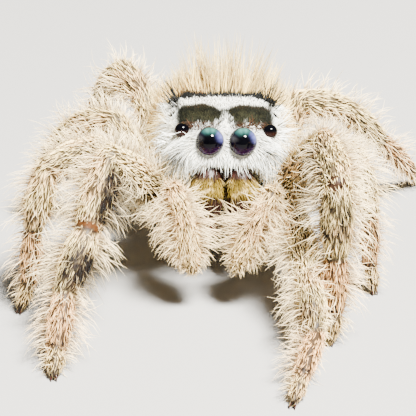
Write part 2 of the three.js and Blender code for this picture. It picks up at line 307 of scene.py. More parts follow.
def closedRings(rings, firstEnd, lastEnd):
    # a body from rings of points, closed by a point at each end
    sides = len(rings[0])
    points = [p for ring in rings for p in ring] + [firstEnd, lastEnd]
    faces = []
    for j in range(len(rings) - 1):
        for k in range(sides):
            n = (k + 1) % sides
            faces.append((j * sides + k, (j + 1) * sides + k, (j + 1) * sides + n, j * sides + n))
    last = len(points) - 1
    for k in range(sides):
        n = (k + 1) % sides
        faces += [(last - 1, k, n), (last, last - 1 - sides + n, last - 1 - sides + k)]
    return np.array(points), faces


def joined(bodies):
    points, faces = [], []
    for body, bodyFaces in bodies:
        base = len(points)
        points.extend(body)
        faces.extend(tuple(base + i for i in f) for f in bodyFaces)
    return points, faces


# attributes that meshes carry to the coat and the materials
fieldKinds = {"lie": "FLOAT_VECTOR", "outward": "FLOAT_VECTOR", "nap": "FLOAT", "cover": "FLOAT",
              "marking": "FLOAT_COLOR", "hide": "FLOAT_COLOR", "glow": "FLOAT_COLOR", "skinUv": "FLOAT2"}


def storeFields(mesh, domain="POINT", **fields):
    for name, values in fields.items():
        kind = fieldKinds[name]
        layer = mesh.attributes.new(name, kind, domain)
        values = np.asarray(values, dtype=np.float32)
        if kind == "FLOAT_COLOR":
            values = np.concatenate([values, np.ones((len(values), 1), dtype=np.float32)], axis=1)
        member = {"FLOAT": "value", "FLOAT_COLOR": "color"}.get(kind, "vector")
        layer.data.foreach_set(member, values.ravel())


# materials: shared helpers

def addNode(tree, kind, settings=None, **inputs):
    node = tree.nodes.new(kind)
    for key, value in (settings or {}).items():
        setattr(node, key, value)
    for key, value in inputs.items():
        # i0, i1 and so on are socket numbers, anything else is a socket's name
        numbered = key[0] == "i" and key[1:].isdigit()
        socket = node.inputs[int(key[1:]) if numbered else key.replace("_", " ")]
        if isinstance(value, bpy.types.NodeSocket):
            tree.links.new(value, socket)
        else:
            socket.default_value = value
    return node


def calculated(tree, operation, a, b):
    return addNode(tree, "ShaderNodeMath", {"operation": operation}, i0=a, i1=b).outputs[0]


def scaled(tree, a, amount):
    return addNode(tree, "ShaderNodeVectorMath", {"operation": "SCALE"}, i0=a, Scale=amount).outputs[0]


def ranged(tree, value, low, high, toLow, toHigh):
    return addNode(tree, "ShaderNodeMapRange", i0=value, i1=low, i2=high, i3=toLow, i4=toHigh).outputs[0]


def groupSockets(group, inputs, outputs):
    # an input is given with its usual value, or with its kind where it has none
    kinds = {tuple: "Color", float: "Float", int: "Int"}
    for name, value in inputs.items():
        kind = kinds.get(type(value), value)
        socket = group.interface.new_socket(name, in_out="INPUT", socket_type="NodeSocket" + kind)
        if kind != value:
            socket.default_value = value
    for name, kind in outputs.items():
        group.interface.new_socket(name, in_out="OUTPUT", socket_type="NodeSocket" + kind)
    return addNode(group, "NodeGroupInput").outputs, addNode(group, "NodeGroupOutput").inputs


def varied(group, colour, source, low, high, amount):
    # the colour darkened and lightened by up to amount, as source runs from low to high
    swing = calculated(group, "MULTIPLY", ranged(group, source, low, high, -1.0, 1.0), amount)
    return scaled(group, colour, calculated(group, "ADD", swing, 1.0))


def mottleGroup():
    # uneven darkening and lightening of a surface
    group = bpy.data.node_groups.new("mottle", "ShaderNodeTree")
    given, result = groupSockets(group, {"Colour": (0.5, 0.5, 0.5, 1), "Per Metre": 2000.0, "Amount": 0.3},
                                 {"Colour": "Color", "Mask": "Float"})
    place = addNode(group, "ShaderNodeTexCoord").outputs["Object"]
    noise = addNode(group, "ShaderNodeTexNoise", Vector=place, Scale=given["Per Metre"], Detail=4.0,
                    Roughness=0.6).outputs["Fac"]
    shaded = varied(group, given["Colour"], noise, 0.3, 0.7, given["Amount"])
    group.links.new(shaded, result["Colour"])
    group.links.new(noise, result["Mask"])
    return group


def grainGroup():
    # height for fine bumps: pits where bristles stand, over a soft leathery noise
    group = bpy.data.node_groups.new("grain", "ShaderNodeTree")
    given, result = groupSockets(group, {"Per Metre": 9000.0, "Pits": 0.5}, {"Height": "Float"})
    place = addNode(group, "ShaderNodeTexCoord").outputs["Object"]
    cells = addNode(group, "ShaderNodeTexVoronoi", Vector=place, Scale=given["Per Metre"])
    noise = addNode(group, "ShaderNodeTexNoise", Vector=place, Scale=given["Per Metre"], Detail=3.0)
    pit = calculated(group, "MULTIPLY", ranged(group, cells.outputs["Distance"], 0.0, 0.35, 0.0, 1.0),
                     given["Pits"])
    group.links.new(calculated(group, "ADD", pit, noise.outputs["Fac"]), result["Height"])
    return group


def strandGroup():
    # a bristle: its marking, warmer and darker at the root, each a little different; the darker root is
    # partly the hair's own tone and partly painted shade for the shadow deep in the coat
    group = bpy.data.node_groups.new("strandColour", "ShaderNodeTree")
    given, result = groupSockets(
        group, {"Marking": (0.8, 0.7, 0.5, 1), "Along": 0.5, "Strand": 0.5,
                "Root Colour": (0.5, 0.4, 0.25, 1), "Root Share": 0.5, "Spread": 0.3}, {"Colour": "Color"})
    rootShadeShare = ranged(group, given["Along"], 0.08, 0.55, given["Root Share"], 0.0)
    rootShaded = addNode(group, "ShaderNodeMix", {"data_type": "RGBA", "blend_type": "MULTIPLY"}, i0=rootShadeShare,
                   i6=given["Marking"], i7=given["Root Colour"])
    final = varied(group, rootShaded.outputs[2], given["Strand"], 0.0, 1.0, given["Spread"])
    group.links.new(final, result["Colour"])
    return group


mottle, grain, strandColour = mottleGroup(), grainGroup(), strandGroup()


def newMaterial(name, **settings):
    material = bpy.data.materials.new(name)
    material.use_nodes = True
    shader = material.node_tree.nodes["Principled BSDF"]
    for socketName, value in settings.items():
        shader.inputs[socketName.replace("_", " ")].default_value = value
    return material, material.node_tree, shader


def useGroup(tree, group, **inputs):
    return addNode(tree, "ShaderNodeGroup", {"node_tree": group}, **inputs)


def carried(tree, name, output="Color"):
    return addNode(tree, "ShaderNodeAttribute", {"attribute_name": name}).outputs[output]


def coatMaterial(name, rootColour, rootShare, spread, **settings):
    material, tree, shader = newMaterial(name, **settings)
    colour = useGroup(tree, strandColour, Marking=carried(tree, "marking"),
                      Along=carried(tree, "along", "Fac"), Strand=carried(tree, "strand", "Fac"),
                      Root_Colour=rootColour, Root_Share=rootShare, Spread=spread)
    tree.links.new(colour.outputs["Colour"], shader.inputs["Base Color"])
    return material


def hardMaterial(name, colour, gloss, patches, patchShare, grains, pits, bumps, roughness):
    # a mottled surface with fine bumps; the colour is a value, or an attribute's name
    material, tree, shader = newMaterial(name, Specular_IOR_Level=gloss)
    colour = carried(tree, colour) if isinstance(colour, str) else colour
    mottled = useGroup(tree, mottle, Colour=colour, Per_Metre=patches, Amount=patchShare)
    height = useGroup(tree, grain, Per_Metre=grains, Pits=pits)
    bump = addNode(tree, "ShaderNodeBump", Strength=bumps, Distance=0.00002,
                   Height=height.outputs["Height"])
    worn = ranged(tree, mottled.outputs["Mask"], 0.3, 0.7, *roughness)
    for output, socketName in ((mottled.outputs["Colour"], "Base Color"), (bump.outputs[0], "Normal"),
                               (worn, "Roughness")):
        tree.links.new(output, shader.inputs[socketName])
    return material


def shellMaterial(name, colour, roughness):
    return hardMaterial(name, colour, 0.25, 3000.0, 0.35, 12000.0, 0.4, 0.25,
                        (roughness * 0.8, roughness * 1.3))


def plainMaterial(name, colour, patches, patchShare, **settings):
    material, tree, shader = newMaterial(name, **settings)
    colour = carried(tree, colour) if isinstance(colour, str) else colour
    mottled = useGroup(tree, mottle, Colour=colour, Per_Metre=patches, Amount=patchShare)
    tree.links.new(mottled.outputs["Colour"], shader.inputs["Base Color"])
    return material


# root colour and its share, spread from bristle to bristle; the darker roots are partly painted shade deep
# in the coat
paleBristles = coatMaterial("paleBristles", (0.075, 0.05, 0.026, 1), 0.95, 0.2, Roughness=0.55,
                            Specular_IOR_Level=0.15)
headBristles = coatMaterial("headBristles", (0.5, 0.4, 0.27, 1), 0.7, 0.14, Roughness=0.55,
                            Specular_IOR_Level=0.12)
crestBristles = coatMaterial("crestBristles", (0.82, 0.66, 0.33, 1), 0.5, 0.3, Roughness=0.5,
                             Specular_IOR_Level=0.2)
longBristles = coatMaterial("longBristles", (0.14, 0.09, 0.05, 1), 0.9, 0.12, Roughness=0.45,
                            Specular_IOR_Level=0.2)
amberBristles = coatMaterial("amberBristles", (0.3, 0.2, 0.08, 1), 0.8, 0.3, Roughness=0.5,
                             Specular_IOR_Level=0.15)
darkBristles = coatMaterial("darkBristles", (0.5, 0.4, 0.3, 1), 0.4, 0.3, Roughness=0.35)
bristledSkin = hardMaterial("bristledSkin", "hide", 0.12, 4000.0, 0.25, 16000.0, 0.6, 0.35, (0.38, 0.6))
# the eyes' glass takes its colour, with the painted reflections on the big pair, from each lens's
# attribute
eyeGlass = plainMaterial("eyeGlass", "glow", 1500.0, 0.35, Roughness=0.03, Specular_IOR_Level=0.09)
mahogany = shellMaterial("mahoganyShell", (0.02, 0.006, 0.004, 1), 0.4)
brownShell = shellMaterial("brownShell", (0.055, 0.028, 0.015, 1), 0.45)
fangShell = shellMaterial("fangShell", (0.03, 0.01, 0.007, 1), 0.2)
paleFloor = plainMaterial("paleFloor", (0.25, 0.247, 0.24, 1), 20.0, 0.02, Roughness=0.75)

floorReach = 900.0
floor = meshObject("floor", [(x * floorReach, y * floorReach, 0)
                             for x, y in ((-1, -1), (1, -1), (1, 1), (-1, 1))], [(0, 1, 2, 3)])
floor.data.transform(Matrix.Scale(mm, 4))
floor.data.materials.append(paleFloor)
print("camera, lights, materials and floor set")


# the skin

skinPlan = {"voxel": 0.088, "smoothing": 5}
# skin radii along each segment, base to tip
limbRadii = {
    "femur": (0.24, 0.45, 0.5, 0.38), "patella": (0.36, 0.5, 0.38), "tibia": (0.32, 0.45, 0.43, 0.3),
    "metatarsus": (0.27, 0.35, 0.26), "tarsus": (0.2, 0.25, 0.12),
    "palpFemur": (0.2, 0.27, 0.24), "palpTibia": (0.24, 0.3, 0.27), "palpTarsus": (0.27, 0.36, 0.36, 0.2),
}
pairStoutness = {1: 1.09, 2: 0.92, 3: 0.88, 4: 0.92}


def tubeBody(start, end, radii, sides=20, stations=9):
    # a straight tube with rounded ends
    start, end = np.asarray(start, dtype=float), np.asarray(end, dtype=float)
    length, along = np.linalg.norm(end - start), unit(end - start)
    across = acrossOf(along)
    upward = np.cross(across, along)
    caps = [(math.sin(angle), math.cos(angle)) for angle in map(math.radians, (25, 50, 75))]
    spots = np.linspace(0, 1, len(radii))
    rows = [(-radii[0] * s * 0.8, radii[0] * c) for s, c in reversed(caps)]
    rows += [(s * length, float(np.interp(s, spots, radii))) for s in np.linspace(0, 1, stations)]
    rows += [(length + radii[-1] * s * 0.8, radii[-1] * c) for s, c in caps]
    rings = [ringAround(start + along * distance, radius, across, upward, sides)
             for distance, radius in rows]
    return closedRings(rings, start + along * (rows[0][0] - 0.1 * radii[0]),
                       start + along * (rows[-1][0] + 0.1 * radii[-1]))


def loftBody(plan, place, sides=40, stations=26):
    # sections along y, each a rounded box from bottom to top
    low, high = plan["half"][0][0], plan["half"][-1][0]
    ys = low + (high - low) * (1 - np.cos(np.linspace(0, math.pi, stations))) / 2
    half, top, bottom, fullness = (np.interp(ys, *zip(*plan[key]))
                                   for key in ("half", "top", "bottom", "fullness"))
    middle, tall = (top + bottom) / 2, (top - bottom) / 2
    rings = []
    for j, y in enumerate(ys):
        power = 2 / float(fullness[j])
        rings.append([])
        for turn in (2 * math.pi * k / sides for k in range(sides)):
            c, s = math.cos(turn), math.sin(turn)
            rings[-1].append(place((half[j] * math.copysign(abs(c) ** power, c), y,
                                    middle[j] + tall[j] * math.copysign(abs(s) ** power, s))))
    return closedRings(rings, *(place((0, ys[j], middle[j])) for j in (0, -1)))


# place along the body, then the value there
headPlan = {
    "half": [(0.02, 1.3), (0.12, 1.5), (0.4, 1.7), (1.1, 1.86), (2.2, 2.02), (3.3, 2.25), (4.3, 2.15),
             (5.2, 1.6), (5.6, 1.0)],
    "top": [(0.02, 0.36), (0.12, 0.47), (0.4, 0.69), (0.8, 0.91), (1.25, 1.15), (1.9, 1.4), (2.4, 1.53),
            (3.1, 1.6), (3.8, 1.44), (4.6, 0.88), (5.6, 0.0)],
    "bottom": [(0.02, -0.7), (0.12, -0.84), (0.5, -0.98), (1.5, -1.2), (4.2, -1.3), (5.6, -1.1)],
    "fullness": [(0.02, 2.8), (0.5, 3.6), (1.2, 4.2), (2.4, 4.0), (3.6, 2.7), (5.6, 2.4)],
}
bellyPlan = {
    "half": [(1.0, 0.6), (1.5, 1.05), (3.0, 1.3), (4.4, 1.05), (5.0, 0.6)],
    "top": [(1.0, -1.0), (5.0, -1.0)],
    "bottom": [(1.0, -1.9), (1.5, -2.1), (3.0, -2.25), (4.4, -2.1), (5.0, -1.8)],
    "fullness": [(0.0, 2.2)],
}
abdomenBody = {
    "half": [(0.0, 0.7), (0.4, 1.25), (1.4, 1.85), (3.0, 2.2), (4.4, 2.2), (5.6, 1.65), (6.4, 0.95),
             (6.85, 0.4)],
    "top": [(0.0, 0.3), (0.4, 0.75), (1.4, 1.15), (3.0, 1.35), (4.4, 1.25), (5.6, 0.9), (6.4, 0.5),
            (6.85, 0.15)],
    "bottom": [(0.0, -0.5), (0.4, -0.85), (1.4, -1.25), (3.0, -1.4), (4.4, -1.35), (5.6, -1.05),
               (6.4, -0.7), (6.85, -0.35)],
    "fullness": [(0.0, 2.15)],
}
bones = []      # every part of the skin: where it runs and what it is called


def addBone(name, group, segment, body, start, end, owner=None):
    bones.append({"owner": len(bones) if owner is None else owner,
                  "name": name, "group": group, "segment": segment, "body": body,
                  "start": np.asarray(start, dtype=float), "end": np.asarray(end, dtype=float)})


def addTube(name, group, segment, start, end, radii, sides=20, stations=9, owner=None):
    addBone(name, group, segment, tubeBody(start, end, radii, sides, stations), start, end, owner)


addBone("head", "head", "head", loftBody(headPlan, fromHead), fromHead((0, 0, 0)), fromHead((0, 5.6, 0)))
for _, _, place, gaze, radius, socket, _ in eyeSeats:
    addTube("eyeSeat", "head", "head", fromHead(place - gaze * 0.5), fromHead(place - gaze * 0.06),
            (radius + 0.06, radius + socket), 24, 5, owner=0)
addBone("belly", "belly", "belly", loftBody(bellyPlan, fromHead, 28, 14), fromHead((0, 1, -1.6)),
        fromHead((0, 5, -1.6)))
addBone("abdomen", "abdomen", "abdomen", loftBody(abdomenBody, fromAbdomen), fromAbdomen((0, 0, 0)),
        fromAbdomen((0, 6.85, 0)))
addTube("waist", "belly", "belly", fromHead((0, 4.9, -1.1)), fromAbdomen((0, 0.6, -0.15)),
        (0.36, 0.3, 0.36))
for side, sign in handed.items():
    for pair, plan in legPlan.items():
        hip, joints, group = plan["hip"], legJoints(pair, side), f"leg_{side}_{pair}"
        addTube(f"coxa_{side}_{pair}", "belly", "coxa",
                fromHead((sign * 0.85, 0.3 + 0.9 * hip[1], hip[2] - 0.06)), joints[0], (0.36, 0.42, 0.38))
        for i, segment in enumerate(segmentNames):
            addTube(f"{group}_{segment}", group, segment, joints[i], joints[i + 1],
                    [r * pairStoutness[pair] for r in limbRadii[segment]])
    places = [fromHead(p) for p in palpPlan[side]]
    for i, segment in enumerate(("palpFemur", "palpTibia", "palpTarsus")):
        addTube(f"palp_{side}_{segment}", f"palp_{side}", segment, places[i], places[i + 1],
                limbRadii[segment])


def buildSkin():
    points, faces = joined(bone["body"] for bone in bones)
    owners = np.repeat([bone["owner"] for bone in bones], [len(bone["body"][1]) for bone in bones])
    lump = meshObject("skinLump", points, faces)
    remesh = lump.modifiers.new("voxels", "REMESH")
    remesh.mode, remesh.voxel_size = "VOXEL", skinPlan["voxel"]
    smooth = lump.modifiers.new("smooth", "SMOOTH")
    smooth.factor, smooth.iterations = 0.5, skinPlan["smoothing"]
    mesh = evaluatedMesh(lump)
    bpy.data.objects.remove(lump)
    mesh.name = "skin"
    piece = bpy.data.objects.new("skin", mesh)
    bpy.context.scene.collection.objects.link(piece)
    return piece, BVHTree.FromPolygons([tuple(p) for p in points], faces), owners


skin, skinSources, sourceOwners = buildSkin()
vertexCount, faceCount = len(skin.data.vertices), len(skin.data.polygons)
skinPoints = np.empty(vertexCount * 3)
skin.data.vertices.foreach_get("co", skinPoints)
skinPoints = skinPoints.reshape(-1, 3)
skinNormals = np.array([v.normal for v in skin.data.vertices])
skinFaces = np.array([list(p.vertices) for p in skin.data.polygons])
faceMiddles = skinPoints[skinFaces].mean(axis=1)
faceNormals = np.array([p.normal for p in skin.data.polygons])
faceAreas = np.array([p.area for p in skin.data.polygons])
vertexBones, faceBones = (sourceOwners[[skinSources.find_nearest(tuple(p))[2] for p in places]]
                          for places in (skinPoints, faceMiddles))
print("skin:", vertexCount, "points,", faceCount, "faces")


# where every point of the skin lies on its unwrap

# height of the axis, then the tile's corner and size
bodyCharts = {"head": (0.2, (0.0, 0.0, 0.5, 0.3)), "belly": (-1.6, (0.5, 0.3, 0.25, 0.25)),
              "abdomen": (0.0, (0.0, 0.3, 0.5, 0.25))}


def boneChart(bone, points, order):
    # a bone's tile on the unwrap, with the share along it and the angle round it
    length = np.linalg.norm(bone["end"] - bone["start"])
    if bone["name"] in bodyCharts:
        middle, tile = bodyCharts[bone["name"]]
        local = toAbdomen(points) if bone["name"] == "abdomen" else toHead(points)
        return tile, local[..., 1] / length, np.arctan2(local[..., 0], local[..., 2] - middle)
    axis = unit(bone["end"] - bone["start"])
    across = acrossOf(axis)
    offset = points - bone["start"]
    angle = np.arctan2(offset @ across, offset @ np.cross(across, axis))
    return (0.2 * (order % 5), 0.55 + 0.04 * (order // 5), 0.2, 0.04), offset @ axis / length, angle


def unwrapSkin():
    corners = skinPoints[skinFaces]
    uv = np.zeros((faceCount, 4, 2))
    order = -1
    for i, bone in enumerate(bones):
        chosen = np.where(faceBones == i)[0]
        order += bone["name"] not in bodyCharts
        if not len(chosen):
            continue
        tile, along, angle = boneChart(bone, corners[chosen], order)
        centre = boneChart(bone, faceMiddles[chosen], order)[2][:, None]
        angle = centre + (angle - centre + math.pi) % (2 * math.pi) - math.pi
        inside = np.stack([np.clip(along, -0.1, 1.1) / 1.2 + 0.08, angle / (2 * math.pi) * 0.9 + 0.5],
                          axis=-1)
        uv[chosen] = inside * np.array(tile[2:]) + np.array(tile[:2])
    # the face looks forward, so it gets a flat tile of its own
    facing = (faceBones == 0) & (faceNormals @ headY < -0.6)
    local = toHead(corners[facing])
    uv[facing] = np.stack([0.625 + local[..., 0] * 0.06, 0.14 + local[..., 2] * 0.09], axis=-1)
    return uv


skinUv = unwrapSkin()
print("skin unwrapped")


# the lie, length and colour of the coat over the skin

paint = {
    "white": tone("#f1f5f0"), "cream": tone("#f3dc9c"), "fawn": tone("#b58e58"), "blush": tone("#e3ba87"),
    "umber": tone("#4a3120"), "olive": tone("#0b0d07"), "moss": tone("#212216"), "black": tone("#070908"),
    "soot": tone("#0c0805"), "amber": tone("#7b661b"), "straw": tone("#e6cb84"),
    "peach": tone("#dba56e"), "skinBrown": tone("#170f0a"), "jointTan": tone("#42260f"),
}
coatPlan = {
    "faceNap": 0.42, "browNap": 0.19, "bandNap": 0.17, "lineNap": 0.24, "crestNap": 2.25,
    "carapaceNap": 0.65, "bellyNap": 0.55, "abdomenNap": 0.75, "limbNap": 0.34,
    "legBristle": 1.05, "palpBristle": 1.35, "bristleLift": 80, "palpLift": 84,
}
# where the pale band, the dark line and the crest begin on the head
headZones = {"band": 1.35, "line": 2.14, "crest": 2.42}
# how far each leg's knee joint shows its bare membrane
bareShare = {"leg_right_1": 1.0, "leg_left_1": 0.35}


def alongSkin(direction, normals):
    return unit(direction - normals * np.sum(direction * normals, axis=1, keepdims=True))


def lifted(direction, normals, lift):
    lift = np.radians(np.broadcast_to(lift, (len(normals),)))[:, None]
    return alongSkin(direction, normals) * np.cos(lift) + normals * np.sin(lift)


def headField(points, normals, speckle):
    local, out = toHead(points), normals @ headAxes.T
    x, y, z = local.T
    wide = np.abs(x)
    side = np.tanh(x / 0.8)
    front = ramp(-out[:, 1], 0.1, 0.5)
    # down the face, outwards on the cheeks, back over the brow
    comb = wayOf(0.55 * x, 0, -1)
    cheek = ramp(wide, 0.9, 1.3)
    comb = blend(comb, wayOf(1.1 * side, 0.3, -0.45), cheek)
    # the hem's corners hang down, level with its middle
    corner = ramp(wide, 0.75, 1.15) * ramp(-z, 0.25, 0.5) * (1 - ramp(y, 0.9, 1.3))
    comb = blend(comb, wayOf(0.25 * side, -0.1, -1), corner)
    beforeLine = 1 - ramp(y, 2.3, 2.4)
    comb = blend(comb, wayOf(0.12 * x, 1, 0.4), ramp(z, 0.4, 0.52) * beforeLine)
    nearEye, naked, paleRim = np.zeros((3, len(x)))
    for _, _, place, gaze, radius, _, clear in eyeSeats:
        away = local - place
        away = away - (away @ gaze)[:, None] * gaze
        gap = np.linalg.norm(local - place, axis=1) - radius
        share = np.exp(-np.maximum(gap, 0) ** 2 / (0.02 + 0.06 * radius)) * (1 - 0.5 * ramp(y, 1.0, 1.2))
        comb = blend(comb, unit(away), share)
        nearEye = np.maximum(nearEye, share)
        rim = 1 - ramp(gap, clear, clear + 0.05)
        naked = np.maximum(naked, rim)
        under = 1 if radius > 0.3 else ramp(place[2] - z, -0.05, 0.05)
        paleRim = np.maximum(paleRim, (radius > 0.205) * under * rim)
    onTop = ramp(out[:, 2], 0.2, 0.5)
    browCoat = onTop * (1 - ramp(y, 1.3, 1.5))
    paleBand = onTop * band(y, headZones["band"], headZones["line"], 0.05)
    darkLine = onTop * band(y, headZones["line"], headZones["crest"], 0.04)
    nap = mix(coatPlan["faceNap"] + 0.3 * cheek, coatPlan["browNap"], browCoat)
    nap = mix(nap, coatPlan["bandNap"], paleBand)
    ends = ramp(wide, 0.6, 1.2)
    nap = mix(nap, coatPlan["lineNap"] * (0.82 + 0.6 * ends), darkLine)
    nap = nap * (1 - nearEye * 0.5) * (1 - 0.62 * front * ramp(-z, 0.55, 0.75) * (1 - corner))
    lift = 36 - 20 * onTop * beforeLine + 56 * darkLine
    # the crest stands up in a fan, the rest of the carapace lies back
    crest = ramp(y, headZones["crest"], 2.52) * (1 - ramp(y, 3.5, 4.4)) * ramp(out[:, 2], 0.1, 0.45)
    behind = ramp(y, 0.9, 1.4) * (1 - onTop * beforeLine) * (1 - crest)
    comb = blend(comb, wayOf(0.5 * side, 0.8, -0.3 * np.abs(side)), behind)
    nap = mix(nap, coatPlan["carapaceNap"], behind)
    lie = lifted(comb @ headAxes, normals, mix(lift, 40, behind))
    fan = unit(wayOf(0.22 * x, -0.14 + 0.16 * (y - 2.4), 1)) @ headAxes
    lie = unit(blend(lie, fan, crest))
    crestHeight = coatPlan["crestNap"] * (1 - 0.5 * ramp(np.abs(x - 0.2), 0.7, 2.0))
    crestHeight = crestHeight * (1 - 0.3 * ramp(y, 2.8, 3.8))
    crestHeight = crestHeight * (1 + 0.14 * ripple(local * np.array([1, 0.4, 0]), 3.5, 7))
    nap = mix(nap, crestHeight, crest)
    cover = (1 + 0.4 * crest + 2.2 * darkLine) * (1 - naked)
    # colours
    colour = np.tile(paint["cream"], (len(x), 1))
    colour = blend(colour, paint["white"], (1 - behind) * (1 - crest) * ramp(2.45 - y, 0.0, 0.1))
    flutter = 0.12 * ripple(local * np.array([1, 0.3, 1]), 9.0, 1)
    lobeTop = 1.42 - 0.32 * (1 - ramp(wide, 0.1, 0.55)) - 0.2 * ramp(wide, 1.2, 1.6)
    lobeTop = lobeTop + flutter * 0.5
    frayed = (0.14 + 0.2 * ramp(0.75 - y, 0.0, 0.3)) * (speckle - 0.5)
    lobe = ramp(z + flutter * 0.3 + frayed, 0.4, 0.5) * (1 - ramp(wide, 1.48, 1.62))
    lobe = lobe * (1 - ramp(y + frayed * 0.6, lobeTop - 0.08, lobeTop + 0.04))
    wedge = ramp(np.abs(x - 0.02) + 0.3 * flutter + frayed - 0.22 * (0.95 - y) / 0.8, -0.12, 0.03)
    mossShare = ramp(speckle + 0.7 * ramp(lobeTop - y, 0.15, 0.8), 0.8, 1.5)
    mossy = blend(np.tile(paint["olive"], (len(x), 1)), paint["moss"], mossShare)
    colour = blend(colour, mossy, lobe * wedge)
    fringe = band(z + flutter + frayed, 0.3, 0.5, 0.06) * (1 - ramp(y, 0.5, 0.7)) * wedge
    fringe = fringe * (1 - ramp(wide, 1.2, 1.4))
    colour = blend(colour, paint["umber"], 0.55 * fringe * ramp(speckle, 0.3, 0.6))
    # a dark stripe climbs from each side eye to the end of the line
    climb = np.clip((y - 0.42) / 1.88, 0, 1)
    stripe = np.exp(-((wide - 1.46 - 0.14 * climb) / 0.12) ** 2) * band(y, 0.5, 2.3, 0.1)
    colour = blend(colour, paint["olive"], stripe)
    line = onTop * band(y, 2.1 - 0.06 * ends, 2.45, 0.02) * (1 - ramp(wide, 1.7, 1.8))
    colour = blend(colour, paint["black"], line)
    colour = blend(colour, paint["straw"], crest * 0.6)
    # painted shade: umber in the crest's bunches and in stray strands stands in for the dark gaps between
    # its clumps
    shadedBunches = ramp(ripple(local * np.array([1, 0.4, 0]), 7.0, 4), 0.1, 0.6)
    colour = blend(colour, paint["umber"] * 1.5,
                   crest * np.maximum(0.5 * shadedBunches, 0.4 * ramp(speckle, 0.75, 0.9)))
    colour = blend(colour, paint["fawn"], behind * 0.5 * ramp(ripple(points, 2.4, 3), -0.2, 0.6))
    fleck = band(wide, 1.12, 1.7, 0.06) * band(z + 0.6 * flutter, -0.5, -0.3, 0.03) * (1 - behind)
    colour = blend(colour, paint["olive"], 0.9 * fleck * ramp(speckle, 0.35, 0.5))
    colour = blend(colour, paint["olive"], naked)
    colour = blend(colour, paint["white"] * 0.9, paleRim)
    # painted shade in the bare gap under the hem of the face, over a dark maroon tone
    shadedHemGap = front * (1 - ramp(z + 0.1 * wide + 0.04 * flutter, -0.8, -0.74))
    cover = cover * (1 - 0.9 * shadedHemGap)
    colour = blend(colour, tone("#120706"), shadedHemGap)
    return lie, nap, cover, colour, 0


def bellyField(bone, points, normals):
    way = unit(bone["end"] - bone["start"]) if bone["segment"] == "coxa" else headY
    colour = np.tile(paint["cream"], (len(points), 1))
    colour = blend(colour, paint["fawn"], 0.5 * ramp(ripple(points, 3.0, 5), -0.3, 0.6))
    return lifted(np.tile(way, (len(points), 1)), normals, 28), coatPlan["bellyNap"], 0.8, colour, 0


def abdomenField(points, normals):
    local, out = toAbdomen(points), normals @ abdomenAxes.T
    x, y, _ = local.T
    wide = np.abs(x)
    lie = lifted(wayOf(0.12 * x, 1, -0.15 * wide) @ abdomenAxes, normals, 30)
    nap = coatPlan["abdomenNap"] * (1 + 0.25 * ramp(-y, -1.6, -0.3))
    colour = np.tile(paint["cream"], (len(x), 1))
    colour = blend(colour, paint["fawn"], 0.6 * ramp(ripple(points, 2.2, 7), -0.3, 0.7))
    above = ramp(out[:, 2], 0.25, 0.6)
    # a darker leaf down the back, cut by pale chevrons
    leafHalf = 0.55 * np.sin(np.clip(y / 6.4, 0, 1) * math.pi)
    leaf = above * (1 - ramp(wide - 0.25 - leafHalf, -0.08, 0.12))
    chevron = ramp(np.sin((y - 0.55 * wide) * 2 * math.pi / 1.05), 0.35, 0.8) * ramp(y, 1.6, 2.2)
    colour = blend(colour, paint["umber"], leaf * (1 - 0.9 * chevron) * 0.85)
    colour = blend(colour, paint["white"], above * chevron * (1 - ramp(wide, 0.9, 1.3)) * 0.7)
    colour = blend(colour, paint["fawn"], ramp(-out[:, 2], 0.3, 0.7) * 0.5)
    return lie, nap, 1, colour, 0


